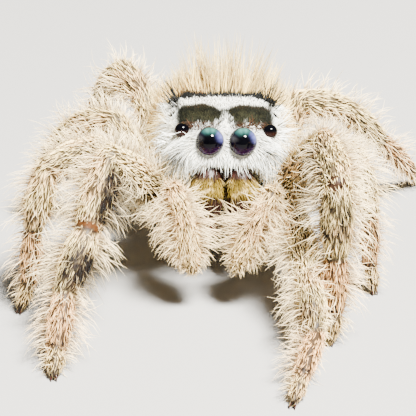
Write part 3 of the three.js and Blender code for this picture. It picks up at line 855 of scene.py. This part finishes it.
def limbField(bone, points, normals, speckle):
    segment, group = bone["segment"], bone["group"]
    axis = unit(bone["end"] - bone["start"])
    length = np.linalg.norm(bone["end"] - bone["start"])
    t = (points - bone["start"]) @ axis / length
    topWay = np.array([0, -0.6, 0.8])
    dorsal = normals @ unit(topWay - axis * (topWay @ axis))
    inward = -normals[:, 0] * np.sign(bone["start"][0])
    inner = ramp(inward, 0.2, 0.7)
    ahead = ramp(-normals[:, 1], 0.2, 0.7)
    onTop = ramp(dorsal, 0.1, 0.6)
    flank = 1 - ramp(dorsal, 0.3, 0.85)
    firstPair = group.endswith("1")
    shows = bareShare.get(group, 0.12)
    nap = coatPlan["limbNap"] * {"metatarsus": 0.9, "tarsus": 0.8}.get(segment, 1.0)
    nap = nap * np.ones(len(points))
    mottled = ripple(points, 3.1, 2)
    colour = np.tile(paint["cream"], (len(points), 1))
    colour = blend(colour, paint["blush"], 0.65 * ramp(mottled, -0.2, 0.6))
    colour = blend(colour, paint["fawn"], 0.28 * ramp(-mottled, 0.0, 0.8))
    patchy = ramp(ripple(points, 2.6, 9), -0.6, 0.3)
    dark, ring, bare = 0 * t, 0 * t, 0 * t
    if segment == "femur":
        dark = 0.4 * onTop * band(t, 0.25, 0.5, 0.08)
        if firstPair:
            # painted shade: the first pair's femur is darkened on its lower, forward side, which lies in
            # shadow behind the patella
            dark = np.maximum(dark, 0.9 * ramp(-dorsal, -0.55, 0.0) * band(t, 0.3, 1.0, 0.1))
    elif segment == "patella":
        # on the first pair the dark inner flank is partly its own dark hairs and partly painted shade,
        # widened to darken the gap beside the palp
        dark = band(t, 0.08, 0.94, 0.08) * (ramp(inward, 0.1, 0.4) if firstPair else 0.5 * patchy * inner)
        bare = ramp(t, 0.95, 0.99) * onTop * shows
        nap = nap * (1 - 0.7 * shows * ramp(t, 0.78, 0.95) * onTop)
    elif segment == "tibia":
        # where the dark patch begins and ends, and how ragged its edges are
        first, last, rough = (0.22, 0.84, 0.45) if group == "leg_left_1" else (0.34, 0.92, 0.16)
        dark = band(t + rough * (speckle - 0.5), first, last, 0.1) * np.maximum(inner, ahead)
        dark = dark * (1 if firstPair else 0.6 * patchy)
        bare = (1 - ramp(t, 0.0, 0.045)) * onTop * shows
        ring = np.maximum(band(t, 0.91, 0.99, 0.02) * 0.9, band(t, 0.07, 0.1, 0.015) * shows) * onTop
        nap = nap * (1 - 0.6 * ramp(t, 0.85, 0.97) * onTop)
    elif segment == "metatarsus":
        colour = blend(colour, paint["peach"], 0.75 + 0 * t)
        bare = 0.8 * (1 - ramp(t, 0.0, 0.05)) * onTop * shows
        ring = band(t, 0.91, 1.0, 0.02) * onTop
        nap = nap * (1 - 0.6 * ramp(t, 0.85, 0.97) * onTop)
    elif segment == "tarsus":
        colour = blend(colour, paint["fawn"], 0.4 + 0 * t)
        dark = 0.85 * ramp(t, 0.6, 0.95)
        ring = (1 - ramp(t, 0.0, 0.06)) * onTop
    else:
        colour = blend(colour, paint["blush"], 0.15 + 0 * t)
        colour = blend(colour, paint["fawn"], 0.1 + 0.4 * speckle)
    # dark hairs stand mixed with pale ones
    palest = 0.52 if group == "leg_left_1" else 0.1
    dark = dark * (0.15 + 0.85 * ramp(speckle, palest - 0.1, palest + 0.1))
    colour = blend(colour, paint["soot"], np.maximum(dark, ring))
    if segment in ("tarsus", "palpTarsus"):
        nap = nap * (1 - (0.35 if segment == "tarsus" else 0.65) * ramp(t, 0.6, 0.95))
    lie = lifted(np.tile(axis, (len(points), 1)), normals, 20)
    # the long bristles that fringe the limbs
    if segment.startswith("palp"):
        shape = {"palpFemur": 1.0, "palpTibia": 0.4 + 0.6 * ramp(t, 0.0, 0.35),
                 "palpTarsus": 1 - 0.8 * np.clip(t, 0, 1)}[segment]
        reach = {"palpFemur": 0.2, "palpTibia": 0.95, "palpTarsus": 1.0}[segment]
        bristle = coatPlan["palpBristle"] * reach * shape
    else:
        reach = {"femur": 0.95, "patella": 0.95, "tibia": 1.0, "metatarsus": 0.85, "tarsus": 0.5}[segment]
        reach = reach * (1.15 if firstPair else 1.0)
        bristle = coatPlan["legBristle"] * reach * (1 - 0.35 * ramp(t, 0.75, 1.0))
    fringe = (0.2 + 0.8 * flank) * (1 - 0.9 * bare)
    if segment == "tibia" and firstPair:
        overPatch = band(t, -0.1, 0.8, 0.05) * ahead
        bristle = bristle * (1 - 0.55 * overPatch)
        fringe = fringe * (1 - 0.55 * overPatch)
    if segment == "tarsus":
        fringe = fringe * (1 - ramp(t, 0.55, 0.85))
    # where limbs stand close together the rear one keeps its fringe short
    if group == "leg_left_2":
        outside = ramp(normals[:, 0], 0.1, 0.5)
        bristle = bristle * (1 - 0.5 * outside)
        fringe = fringe * (1 - 0.75 * outside)
    elif group == "leg_left_1" and segment in ("femur", "patella"):
        # short towards the face, so that no bristle crosses the side eye
        bristle = bristle * (1 - 0.35 * inner)
    elif segment in ("palpFemur", "palpTibia"):
        tighter = 0.25 if group == "palp_left" else 0.0
        bristle = bristle * (1 - (0.25 + tighter) * inner)
        fringe = fringe * (1 - (0.35 + tighter) * inner)
    cover = (1 - 0.95 * bare) * (1 - 0.35 * dark) * (0.72 if segment.startswith("palp") else 1.0)
    return lie, nap, cover, colour, bare, bristle, fringe


lieField, markingField = np.zeros((2, vertexCount, 3))
napField, coverField, bareField, bristleField, fringeField = np.zeros((5, vertexCount))
speckleField = np.random.default_rng(23).random(vertexCount)
for i, bone in enumerate(bones):
    chosen = np.where(vertexBones == i)[0]
    if not len(chosen):
        continue
    spots, outward = skinPoints[chosen], skinNormals[chosen]
    if bone["name"] == "head":
        fields = headField(spots, outward, speckleField[chosen])
    elif bone["name"] == "abdomen":
        fields = abdomenField(spots, outward)
    elif bone["group"] == "belly":
        fields = bellyField(bone, spots, outward)
    else:
        fields = limbField(bone, spots, outward, speckleField[chosen])
        bristleField[chosen], fringeField[chosen] = fields[5:]
    for whole, part in zip((lieField, napField, coverField, markingField, bareField), fields):
        whole[chosen] = part
palpPoints = np.array([b["group"].startswith("palp") for b in bones])[vertexBones]
bristleLie = lifted(lieField, skinNormals,
                    np.where(palpPoints, coatPlan["palpLift"], coatPlan["bristleLift"]))
darkness = 1 - ramp(markingField.mean(axis=1), 0.04, 0.3)
bristleTone = np.where(palpPoints[:, None], tone("#e9d2a4"), tone("#f8e3b6"))
bristleMarking = blend(markingField, bristleTone, 0.72 - 0.55 * darkness * ~palpPoints)
fringeField = fringeField * (1 - 0.5 * darkness)
headLocal = toHead(skinPoints)
headSide, headBack, headRise = np.abs(headLocal[:, 0]), headLocal[:, 1], headLocal[:, 2]
print("coat fields laid out")


def skinPatch(name, faceMask, **fields):
    # a copy of some of the skin, carrying the coat's fields
    chosen = np.where(faceMask)[0]
    used, index = np.unique(skinFaces[chosen], return_inverse=True)
    patch = meshObject(name, skinPoints[used], index.reshape(-1, 4))
    fields = {"lie": lieField, "nap": napField, "cover": coverField, "marking": markingField, **fields}
    storeFields(patch.data, **{key: values[used] for key, values in fields.items()})
    storeFields(patch.data, "CORNER", skinUv=skinUv[chosen])
    weight = float(np.sum(faceAreas[chosen] * fields["cover"][skinFaces[chosen]].mean(axis=1)))
    return patch, weight


# the bristle coat, as Geometry Nodes

rootPatch = 0.003       # size of a bristle's patch on the unwrap
floorGap = 0.03         # bristles end this far above the floor


def bristleTree(treeName, scatter):
    tree = bpy.data.node_groups.new(treeName, "GeometryNodeTree")
    give, result = groupSockets(tree, {
        "Skin": "Geometry",
        "Density": 100.0,       # bristles to a square millimetre
        "Short": 0.4,           # the shortest, as a share of the nap
        "Rarity": 2.0,          # how rare the long ones are
        "Rise": 0.3,            # how far the long ones stand up
        "Unruly": 0.2, "Clump": 0.5, "Clump Scale": 2.5, "Curl": 0.2, "Thickness": 0.018, "Seed": 1,
        "Material": "Material"}, {"Coat": "Geometry"})

    def math2(operation, a, b):
        return calculated(tree, operation, a, b)

    def vector2(operation, a, b):
        return addNode(tree, "ShaderNodeVectorMath", {"operation": operation}, i0=a, i1=b).outputs[0]

    def combined(x, y, z=0.0):
        return addNode(tree, "ShaderNodeCombineXYZ", X=x, Y=y, Z=z).outputs[0]

    def named(name, kind="FLOAT"):
        return addNode(tree, "GeometryNodeInputNamedAttribute", {"data_type": kind}, Name=name).outputs[0]

    def stored(geometry, name, value, kind="FLOAT", domain="POINT"):
        return addNode(tree, "GeometryNodeStoreNamedAttribute", {"data_type": kind, "domain": domain},
                       Geometry=geometry, Name=name, Value=value).outputs[0]

    def chance(kind, low, high, step):
        node = addNode(tree, "FunctionNodeRandomValue", {"data_type": kind})
        tree.links.new(math2("ADD", give["Seed"], float(step)), node.inputs["Seed"])
        suffix = {"FLOAT_VECTOR": "", "FLOAT": "_001", "INT": "_002"}[kind]
        limits = {"Min" + suffix: low, "Max" + suffix: high}
        for socket in node.inputs:
            if socket.identifier in limits:
                socket.default_value = limits[socket.identifier]
        return next(s for s in node.outputs if s.enabled)

    if scatter:
        density = math2("MULTIPLY", give["Density"], named("cover"))
        roots = addNode(tree, "GeometryNodeDistributePointsOnFaces", Mesh=give["Skin"], Density=density,
                        Seed=give["Seed"])
        points, normal = roots.outputs["Points"], roots.outputs["Normal"]
    else:
        roots = addNode(tree, "GeometryNodeMeshToPoints", Mesh=give["Skin"])
        points, normal = roots.outputs[0], named("outward", "FLOAT_VECTOR")

    long = math2("POWER", chance("FLOAT", 0.0, 1.0, 11), give["Rarity"])
    length = math2("MULTIPLY", named("nap"), ranged(tree, long, 0.0, 1.0, give["Short"], 1.0))
    place = addNode(tree, "GeometryNodeInputPosition").outputs[0]
    noise = addNode(tree, "ShaderNodeTexNoise", Vector=place, Scale=give["Clump Scale"], Detail=1.0)
    sway = scaled(tree, vector2("SUBTRACT", noise.outputs["Color"], (0.5, 0.5, 0.5)), give["Clump"])
    stray = scaled(tree, chance("FLOAT_VECTOR", (-1, -1, -1), (1, 1, 1), 23), give["Unruly"])
    stand = scaled(tree, normal, math2("MULTIPLY", long, give["Rise"]))
    way = vector2("ADD", vector2("ADD", named("lie", "FLOAT_VECTOR"), stand), vector2("ADD", sway, stray))
    turn = addNode(tree, "FunctionNodeAxesToRotation", {"primary_axis": "Z", "secondary_axis": "X"},
                   i0=vector2("NORMALIZE", way, (0, 0, 0)), i1=normal)

    # five bristles, each one unit long, bent by different amounts
    variants = addNode(tree, "GeometryNodeJoinGeometry")
    shapes = ((0.5, -0.1), (0.85, 0.08), (1.2, 0.02), (0.7, 0.15), (1.0, -0.06))
    for bend, lean in shapes:
        bent = math2("MULTIPLY", give["Curl"], -bend)
        end = combined(bent, lean, 0.96)
        handle = combined(math2("MULTIPLY", bent, 0.3), lean * 0.4, 0.72)
        curve = addNode(tree, "GeometryNodeCurvePrimitiveBezierSegment", Resolution=6, Start=(0, 0, 0),
                        Start_Handle=(0, 0, 0.35), End_Handle=handle, End=end)
        even = addNode(tree, "GeometryNodeResampleCurve", Curve=curve.outputs[0], Count=4)
        factor = addNode(tree, "GeometryNodeSplineParameter").outputs[0]
        one = addNode(tree, "GeometryNodeGeometryToInstance",
                      Geometry=stored(even.outputs[0], "along", factor))
        tree.links.new(one.outputs[0], variants.inputs[0])
    toned = stored(points, "strand", chance("FLOAT", 0.0, 1.0, 31))
    planted = addNode(tree, "GeometryNodeInstanceOnPoints", Points=toned, Instance=variants.outputs[0],
                      Pick_Instance=True, Instance_Index=chance("INT", 0, len(shapes) - 1, 41),
                      Rotation=turn.outputs[0], Scale=combined(length, length, length))
    loose = addNode(tree, "GeometryNodeRealizeInstances", Geometry=planted.outputs[0])
    # no bristle goes below the floor
    spot = addNode(tree, "ShaderNodeSeparateXYZ", i0=place)
    kept = combined(spot.outputs[0], spot.outputs[1], math2("MAXIMUM", spot.outputs[2], floorGap))
    threads = addNode(tree, "GeometryNodeSetPosition", Geometry=loose.outputs[0], Position=kept)
    along = named("along")
    taper = math2("SUBTRACT", 1.0, math2("MULTIPLY", math2("POWER", along, 1.6), 0.86))
    stout = math2("MULTIPLY", give["Thickness"],
                  math2("ADD", 0.7, math2("MULTIPLY", named("strand"), 0.6)))
    circle = addNode(tree, "GeometryNodeCurvePrimitiveCircle", Resolution=3, Radius=1.0)
    side = math2("MULTIPLY", addNode(tree, "GeometryNodeInputIndex").outputs[0], 0.5)
    tubes = addNode(tree, "GeometryNodeCurveToMesh", Curve=threads.outputs[0],
                    Profile_Curve=stored(circle.outputs[0], "ringSide", side),
                    Scale=math2("MULTIPLY", taper, stout), Fill_Caps=True)
    # each bristle keeps a small patch of its own at its root's place on the skin's unwrap
    patch = combined(*(math2("MULTIPLY", math2("SUBTRACT", value, 0.5), rootPatch)
                       for value in (along, named("ringSide"))))
    clean = stored(tubes.outputs[0], "OFBake", vector2("ADD", named("skinUv", "FLOAT_VECTOR"), patch),
                   "FLOAT2", "CORNER")
    for unused in ("lie", "nap", "cover", "skinUv", "ringSide", "outward"):
        clean = addNode(tree, "GeometryNodeRemoveAttribute", Geometry=clean, Name=unused).outputs[0]
    smooth = addNode(tree, "GeometryNodeSetShadeSmooth", Geometry=clean)
    solid = addNode(tree, "GeometryNodeRealizeInstances", Geometry=smooth.outputs[0])
    dressed = addNode(tree, "GeometryNodeSetMaterial", Geometry=solid.outputs[0],
                      Material=give["Material"])
    tree.links.new(dressed.outputs[0], result["Coat"])
    return tree


scatteredCoat = bristleTree("scatteredCoat", True)
plantedBristles = bristleTree("plantedBristles", False)


def growCoat(patch, tree, settings, material):
    modifier = patch.modifiers.new("coat", "NODES")
    modifier.node_group = tree
    sockets = {item.name: item.identifier for item in tree.interface.items_tree if item.in_out == "INPUT"}
    for name, value in dict(settings, Material=material).items():
        modifier[sockets[name]] = value
    grown, bare = evaluatedMesh(patch), patch.data
    patch.modifiers.clear()
    patch.data = grown
    bpy.data.meshes.remove(bare)
    grown.name = patch.name
    placePiece(patch)
    print(f"  {patch.name}: {sum(len(p.vertices) - 2 for p in grown.polygons)} triangles")


# the skin's own colours

hideShares = np.array([0.05 if b["segment"] in ("metatarsus", "tarsus") else 0.08
                       for b in bones])[vertexBones]
hideField = blend(paint["skinBrown"], markingField * 0.6, hideShares * coverField.clip(0, 1))
hideField = blend(hideField, paint["jointTan"], ramp(bareField, 0.05, 0.4))
hideField = blend(hideField, paint["umber"] * 0.3, band(bareField, 0.15, 0.5, 0.1))
faceFront = (vertexBones == 0) & (headBack < 1.2)
hideField[faceFront] = markingField[faceFront] * 0.4
storeFields(skin.data, hide=hideField)
storeFields(skin.data, "CORNER", skinUv=skinUv)
fleshNodes = ["carapace", "sternum", "abdomen", "pedicel"]
for side in handed:
    fleshNodes += [f"palp_{side}_{part}" for part in ("femur", "tibia", "tarsus")]
    fleshNodes += [f"leg_{side}_{pair}_{part}" for pair in legPlan
                   for part in ("femur", "patella", "tibia", "foot")]
finishPiece(skin, bristledSkin, fleshNodes)
print("skin finished")


# the coat, piece by piece

faceGroups = np.array([b["group"] for b in bones])[faceBones]
headFaces = faceGroups == "head"
middleBack = toHead(faceMiddles)[:, 1]
crestFaces = headFaces & (middleBack > 2.3) & (middleBack < 4.4) & (faceNormals @ headZ > 0.1)
frontFaces = headFaces & (middleBack <= 2.4) & ~crestFaces
flankFaces = headFaces & ~crestFaces & ~frontFaces


def coatPiece(name, faceMask, count, settings, material, slotName, **fields):
    patch, weight = skinPatch(name, faceMask, **fields)
    growCoat(patch, scatteredCoat, dict(settings, Density=count / weight), material)


faceCoat = {"Short": 0.55, "Rarity": 1.5, "Rise": 0.15, "Unruly": 0.12, "Clump": 0.5, "Clump Scale": 3.0,
            "Curl": 0.25, "Thickness": 0.013, "Seed": 3}
coatPiece("face_coat", frontFaces, 9500, faceCoat, headBristles, "face_and_crest_coat")
crestCoat = {"Short": 0.3, "Rarity": 1.1, "Rise": 0.0, "Unruly": 0.11, "Clump": 0.75, "Clump Scale": 2.1,
             "Curl": 0.06, "Thickness": 0.016, "Seed": 5}
coatPiece("crest_coat", crestFaces, 2700, crestCoat, crestBristles, "face_and_crest_coat")
faceBristles = {"Short": 0.5, "Rarity": 1.3, "Rise": 0.2, "Unruly": 0.22, "Clump": 0.2,
                "Clump Scale": 2.0, "Curl": 0.4, "Thickness": 0.015, "Seed": 4}
sideways = ramp(headSide, 1.0, 1.5) * ramp(0.75 - headRise, 0.0, 0.2)
hem = ramp(-headRise, 0.5, 0.65) * ramp(0.9 - headBack, 0.0, 0.3)
eyeGap = np.min([np.linalg.norm(headLocal - seat[2], axis=1) - seat[4] for seat in eyeSeats], axis=0)
coatPiece("face_bristles", frontFaces, 1000, faceBristles, headBristles, "face_and_crest_coat",
          lie=lifted(lieField, skinNormals, 50), nap=0.32 + 0.65 * sideways + 0.18 * hem,
          cover=coverField * np.maximum(sideways, hem) * ramp(eyeGap, 0.12, 0.3))
# dark hairs hang from the lower edge of the brow over the white face
browFringe = {"Short": 0.5, "Rarity": 1.2, "Rise": 0.0, "Unruly": 0.35, "Clump": 0.4, "Clump Scale": 3.0,
              "Curl": 0.2, "Thickness": 0.009, "Seed": 6}
browEdge = band(headRise, 0.42, 0.6, 0.06) * (1 - ramp(headBack, 0.6, 0.8))
browEdge = browEdge * ramp(headSide, 0.14, 0.3) * (1 - ramp(headSide, 1.4, 1.5))
hanging = wayOf(0.3 * np.sign(headLocal[:, 0]), 0, -1) @ headAxes
coatPiece("brow_fringe", frontFaces, 420, browFringe, headBristles, "face_and_crest_coat",
          lie=lifted(hanging, skinNormals, 22), nap=0.26 + 0 * napField, cover=browEdge,
          marking=np.tile(paint["umber"] * 0.5, (vertexCount, 1)))
flankCoat = {"Short": 0.5, "Rarity": 1.6, "Rise": 0.2, "Unruly": 0.15, "Clump": 0.5, "Clump Scale": 2.0,
             "Curl": 0.3, "Thickness": 0.018, "Seed": 7}
coatPiece("carapace_coat", flankFaces, 4200, flankCoat, paleBristles, "face_and_crest_coat")
bellyCoat = {"Short": 0.5, "Rarity": 1.5, "Rise": 0.2, "Unruly": 0.2, "Clump": 0.5, "Clump Scale": 2.0,
             "Curl": 0.3, "Thickness": 0.018, "Seed": 9}
coatPiece("belly_coat", faceGroups == "belly", 3200, bellyCoat, paleBristles, "cream_coat")
abdomenCoat = {"Short": 0.5, "Rarity": 1.8, "Rise": 0.25, "Unruly": 0.15, "Clump": 0.6,
               "Clump Scale": 1.6, "Curl": 0.3, "Thickness": 0.019, "Seed": 11}
coatPiece("abdomen_coat", faceGroups == "abdomen", 8000, abdomenCoat, paleBristles, "cream_coat")
limbCoat = {"Short": 0.6, "Rarity": 1.2, "Rise": 0.12, "Unruly": 0.14, "Clump": 0.2, "Clump Scale": 2.5,
            "Curl": 0.22, "Thickness": 0.0205}
limbBristles = {"Short": 0.45, "Rarity": 1.4, "Rise": 0.15, "Unruly": 0.2, "Clump": 0.2,
                "Clump Scale": 1.5, "Curl": 0.45, "Thickness": 0.015}
# short hairs and long bristles on each limb
limbCounts = {"leg_left_1": (3700, 1800), "leg_right_1": (3700, 1800), "leg_left_2": (3500, 1400),
              "leg_right_2": (3000, 1300), "leg_left_3": (2300, 1100), "leg_right_3": (2300, 1200),
              "leg_left_4": (2300, 1100), "leg_right_4": (2300, 1200), "palp_left": (2100, 1300),
              "palp_right": (2100, 1300)}
for i, (limb, (shortCount, longCount)) in enumerate(limbCounts.items()):
    chosen = faceGroups == limb
    coatPiece(f"{limb}_coat", chosen, shortCount, dict(limbCoat, Seed=20 + i), paleBristles, "cream_coat")
    coatPiece(f"{limb}_bristles", chosen, longCount, dict(limbBristles, Seed=60 + i), longBristles,
              "cream_coat", lie=bristleLie, nap=bristleField, cover=fringeField,
              marking=bristleMarking)
print("coat grown")


# eyes

lensPlan = {"swell": 1.05, "turns": 40, "steps": 24}
lensStandOff = {"front": 0.05, "side": 0.18}       # how far a lens bulges past its seat


def lens(kind, side, place, gaze, radius):
    # a ball whose poles lie along the gaze
    across = unit(np.cross(gaze, (0, 0, 1)))
    upward = np.cross(across, gaze)
    turns, steps = lensPlan["turns"], lensPlan["steps"]
    points, faces = [], []
    for j in range(1, steps):
        fall = math.pi * j / steps
        for k in range(turns):
            turn = 2 * math.pi * k / turns
            spot = math.cos(turn) * across + math.sin(turn) * upward
            points.append(place + radius * (gaze * math.cos(fall) + math.sin(fall) * spot))
    points = [place + radius * gaze] + points + [place - radius * gaze]
    for k in range(turns):
        n = (k + 1) % turns
        faces += [(0, 1 + n, 1 + k),
                  (len(points) - 1, len(points) - 1 - turns + k, len(points) - 1 - turns + n)]
    for j in range(steps - 2):
        for k in range(turns):
            n = (k + 1) % turns
            a, b = 1 + j * turns, 1 + (j + 1) * turns
            faces.append((a + k, a + n, b + n, b + k))
    points = np.array(points)
    offset = (points - place) / radius
    # a dark pool; the big pair carries painted reflections of the room, teal above and violet towards the
    # rim
    height, forward, sideways = offset[:, 2], offset @ gaze, offset[:, 0]
    glow = np.tile((0.0006, 0.0006, 0.001), (len(points), 1))
    if radius > 0.3:
        rho = np.sqrt(np.clip(1 - forward ** 2, 0, 1))
        # 0 to the left of the animal, a quarter turn at the top
        turn = np.arctan2(height, sideways)
        reflectionShare = 0.6 * ramp(rho, 0.3, 0.92) ** 1.3
        streak = 0.8 + 0.2 * np.cos(turn * 13 + 1)
        reflectionHue = np.tile((0.003, 0.0012, 0.009), (len(points), 1))
        reflectionHue = blend(reflectionHue, np.array((0.04, 0.003, 0.075)), ramp(-height, 0.25, 0.75))
        # each painted reflection: its place round the eye, its width and its colour
        for middle, half, reflectionColour in ((0.42, 0.5, (0.11, 0.12, 0.36)), (1.62, 0.62, (0.05, 0.17, 0.15)),
                                    (2.95, 0.35, (0.045, 0.045, 0.05))):
            reflectionHue = blend(reflectionHue, np.array(reflectionColour), np.exp(-((turn - middle) / half) ** 4))
        glow = blend(glow, reflectionHue * streak[:, None], reflectionShare * (1 - 0.55 * ramp(rho, 0.8, 0.98)))
        glow = blend(glow, np.array((0.003, 0.002, 0.004)), ramp(rho, 0.94, 0.985))
    else:
        glow = blend(glow, np.array((0.013, 0.0045, 0.003)), ramp(-height, -0.1, 0.5))
    piece = meshObject(f"{kind}_lens_{side}", [headOrigin + p @ headAxes for p in points], faces)
    storeFields(piece.data, glow=glow)
    finishPiece(piece, eyeGlass, [f"{kind}_eye_{side}"])


for kind, side, place, gaze, radius, _, _ in eyeSeats:
    lens(kind, side, place + gaze * lensStandOff.get(kind, 0.0), gaze, radius * lensPlan["swell"])
print("eyes made")


# mouthparts, spinnerets and claws

def pathBody(path, radii, sides=16, stations=14):
    # a smooth tapering tube along a bent path, closed at both ends
    path = np.array(path, dtype=float)
    spots = np.linspace(0, 1, len(path))
    share = np.linspace(0, 1, stations)
    line = np.stack([np.interp(share, spots, path[:, i]) for i in range(3)], axis=1)
    for _ in range(3):
        line[1:-1] = (line[:-2] + 2 * line[1:-1] + line[2:]) / 4
    size = np.interp(share, np.linspace(0, 1, len(radii)), radii)
    rings = []
    across = None
    for j in range(stations):
        way = unit(line[min(j + 1, stations - 1)] - line[max(j - 1, 0)])
        across = acrossOf(way, (1, 0, 0)) if across is None else across
        across = unit(across - way * (across @ way))
        rings.append(ringAround(line[j], size[j], across, np.cross(across, way), sides))
    return closedRings(rings, line[0] - unit(line[1] - line[0]) * size[0] * 0.5,
                       line[-1] + unit(line[-1] - line[-2]) * size[-1] * 0.5)


def mouthBody(plan, sign, *detail):
    return pathBody([fromHead(mirrored(p, sign)) for p in plan["path"]], plan["radii"], *detail)


cheliceraPlan = {"path": ((0.5, 0.55, -0.95), (0.52, 0.42, -1.7), (0.44, 0.5, -2.5)),
                 "radii": (0.38, 0.46, 0.47, 0.42, 0.26)}
fangPlan = {"path": ((0.42, 0.5, -2.55), (0.42, 0.55, -2.95), (0.28, 0.68, -3.08), (0.14, 0.76, -3.02)),
            "radii": (0.13, 0.11, 0.07, 0.02)}
jaws = {side: mouthBody(cheliceraPlan, sign, 32, 24) for side, sign in handed.items()}
for side, sign in handed.items():
    finishPiece(meshObject(f"chelicera_shell_{side}", *jaws[side]), mahogany,
                [f"chelicera_{side}"])
    finishPiece(meshObject(f"fang_shell_{side}", *mouthBody(fangPlan, sign)), fangShell,
                [f"fang_{side}"])


def jawPatch(name, points, faces, tile):
    # a copy of a jaw, carrying its coat's fields
    patch = meshObject(name, points, faces)
    lie, nap, cover, colour = jawField(points, np.array([v.normal for v in patch.data.vertices]))
    low, high = points.min(axis=0), points.max(axis=0)
    share = (points - low) / (high - low)
    uv = np.stack([tile[0] + tile[2] * share[:, 0], tile[1] + tile[3] * share[:, 2]], axis=1)
    storeFields(patch.data, lie=lie, nap=nap, cover=cover, marking=colour, skinUv=uv)
    weight = sum(p.area * float(cover[list(p.vertices)].mean()) for p in patch.data.polygons)
    return patch, weight


def jawField(points, normals):
    local, out = toHead(points), normals @ headAxes.T
    x, _, z = local.T
    golden = band(z, -1.7, -1.2, 0.1)
    pale = np.random.default_rng(5).random(len(x)) > 0.7 + 0.25 * ramp(-z, 1.25, 1.45)
    front = ramp(-out[:, 1], -0.1, 0.3) * ramp(np.abs(x), 0.12, 0.24)
    way = wayOf(0.25 * np.sign(x), 0, -1) @ headAxes
    # away from the golden band the jaw's hairs are near-black umber: painted shade under the face's hem
    # and on the jaw's lower part
    colour = np.tile(paint["umber"] * 0.3, (len(x), 1))
    colour = blend(colour, paint["amber"], golden)
    colour = blend(colour, paint["straw"], pale * golden * 0.7)
    nap = 0.3 + 0.15 * (1 - golden)
    return lifted(way, normals, 30 + 10 * golden), nap, front * (0.08 + 0.92 * golden), colour


jawCoat = {"Short": 0.6, "Rarity": 1.5, "Rise": 0.2, "Unruly": 0.15, "Clump": 0.4, "Clump Scale": 3.0,
           "Curl": 0.4, "Thickness": 0.014}
jawTiles = {"left": (0.78, 0.02, 0.1, 0.25), "right": (0.89, 0.02, 0.1, 0.25)}
for side, sign in handed.items():
    patch, weight = jawPatch(f"chelicera_{side}_coat", *jaws[side], jawTiles[side])
    growCoat(patch, scatteredCoat, dict(jawCoat, Density=650 / weight, Seed=80 + sign), amberBristles)

# long stiff bristles planted one by one: black tufts behind the side eyes, and lashes
# root, way and length in the head's axes, for the left side, and how many stand together
whiskerPlan = {
    "horn": {"root": (1.5, 2.0, 1.3), "way": (0.4, -0.1, 1.0), "length": 1.2, "count": 9, "spread": 0.07,
             "colour": "black"},
    "hornLow": {"root": (1.66, 1.7, 1.1), "way": (0.75, -0.15, 0.8), "length": 0.9, "count": 7,
                "spread": 0.09, "colour": "black"},
    "browLash": {"root": (0.95, 0.22, 0.58), "way": (0.15, -0.7, 0.7), "length": 0.4, "count": 5,
                 "spread": 0.25, "colour": "umber"},
    "cheek": {"root": (1.75, 0.75, 0.1), "way": (1.0, -0.5, 0.1), "length": 0.8, "count": 16,
              "spread": 0.35, "colour": "white"},
}


whiskerCoat = {"Short": 0.8, "Rarity": 1.0, "Rise": 0.0, "Unruly": 0.03, "Clump": 0.0, "Curl": 0.1,
               "Thickness": 0.023, "Seed": 90}


def plantWhiskers():
    chance = np.random.default_rng(17)
    roots, ways, lengths, colours = [], [], [], []
    for plan in whiskerPlan.values():
        for sign in handed.values():
            for _ in range(plan["count"]):
                scatter = chance.normal(0, plan["spread"], 3) * np.array([1, 1, 0.5])
                roots.append(mirrored(np.array(plan["root"]) + scatter, sign))
                ways.append(mirrored(unit(unit(plan["way"]) + chance.normal(0, 0.16, 3)), sign))
                lengths.append(plan["length"] * chance.uniform(0.6, 1.15))
                colours.append(paint[plan["colour"]])
    # each root drops to the nearest skin
    skinTree = BVHTree.FromPolygons([tuple(p) for p in skinPoints],
                                    [tuple(int(i) for i in f) for f in skinFaces])
    spots, outward, nearest, _ = zip(*(skinTree.find_nearest(tuple(fromHead(root))) for root in roots))
    patch = meshObject("whiskers", spots, [])
    storeFields(patch.data, lie=np.array(ways) @ headAxes, outward=outward, nap=lengths, marking=colours,
                skinUv=skinUv[list(nearest), 0])
    growCoat(patch, plantedBristles, whiskerCoat, darkBristles)


plantWhiskers()
for node in ("maxilla_left", "maxilla_right", "labium", "spinnerets"):
    solid = frame["nodes"][node]
    solid.data.materials.clear()
    solid.data.materials.append(brownShell)

clawPlan = {"length": 0.22, "radii": (0.035, 0.03, 0.008), "spread": 0.07}
claws = []
for side in handed:
    for pair in legPlan:
        joints = legJoints(pair, side)
        tip, way = joints[-1], unit(joints[-1] - joints[-2])
        across = unit(np.cross(way, (0, 0, 1)))
        for hand in (-1, 1):
            start = tip - way * 0.05 + across * clawPlan["spread"] * hand * 0.7
            middle = start + (way * 0.6 + np.array([0, 0, 0.1])) * clawPlan["length"]
            middle = middle + across * clawPlan["spread"] * hand * 0.5
            end = middle + (way * 0.35 + np.array([0, 0, -0.55])) * clawPlan["length"]
            end[2] = max(end[2], 0.01)
            claws.append(pathBody([start, middle, end], clawPlan["radii"], 6, 6))
finishPiece(meshObject("claws", *joined(claws)), fangShell)
print("mouthparts and claws made")
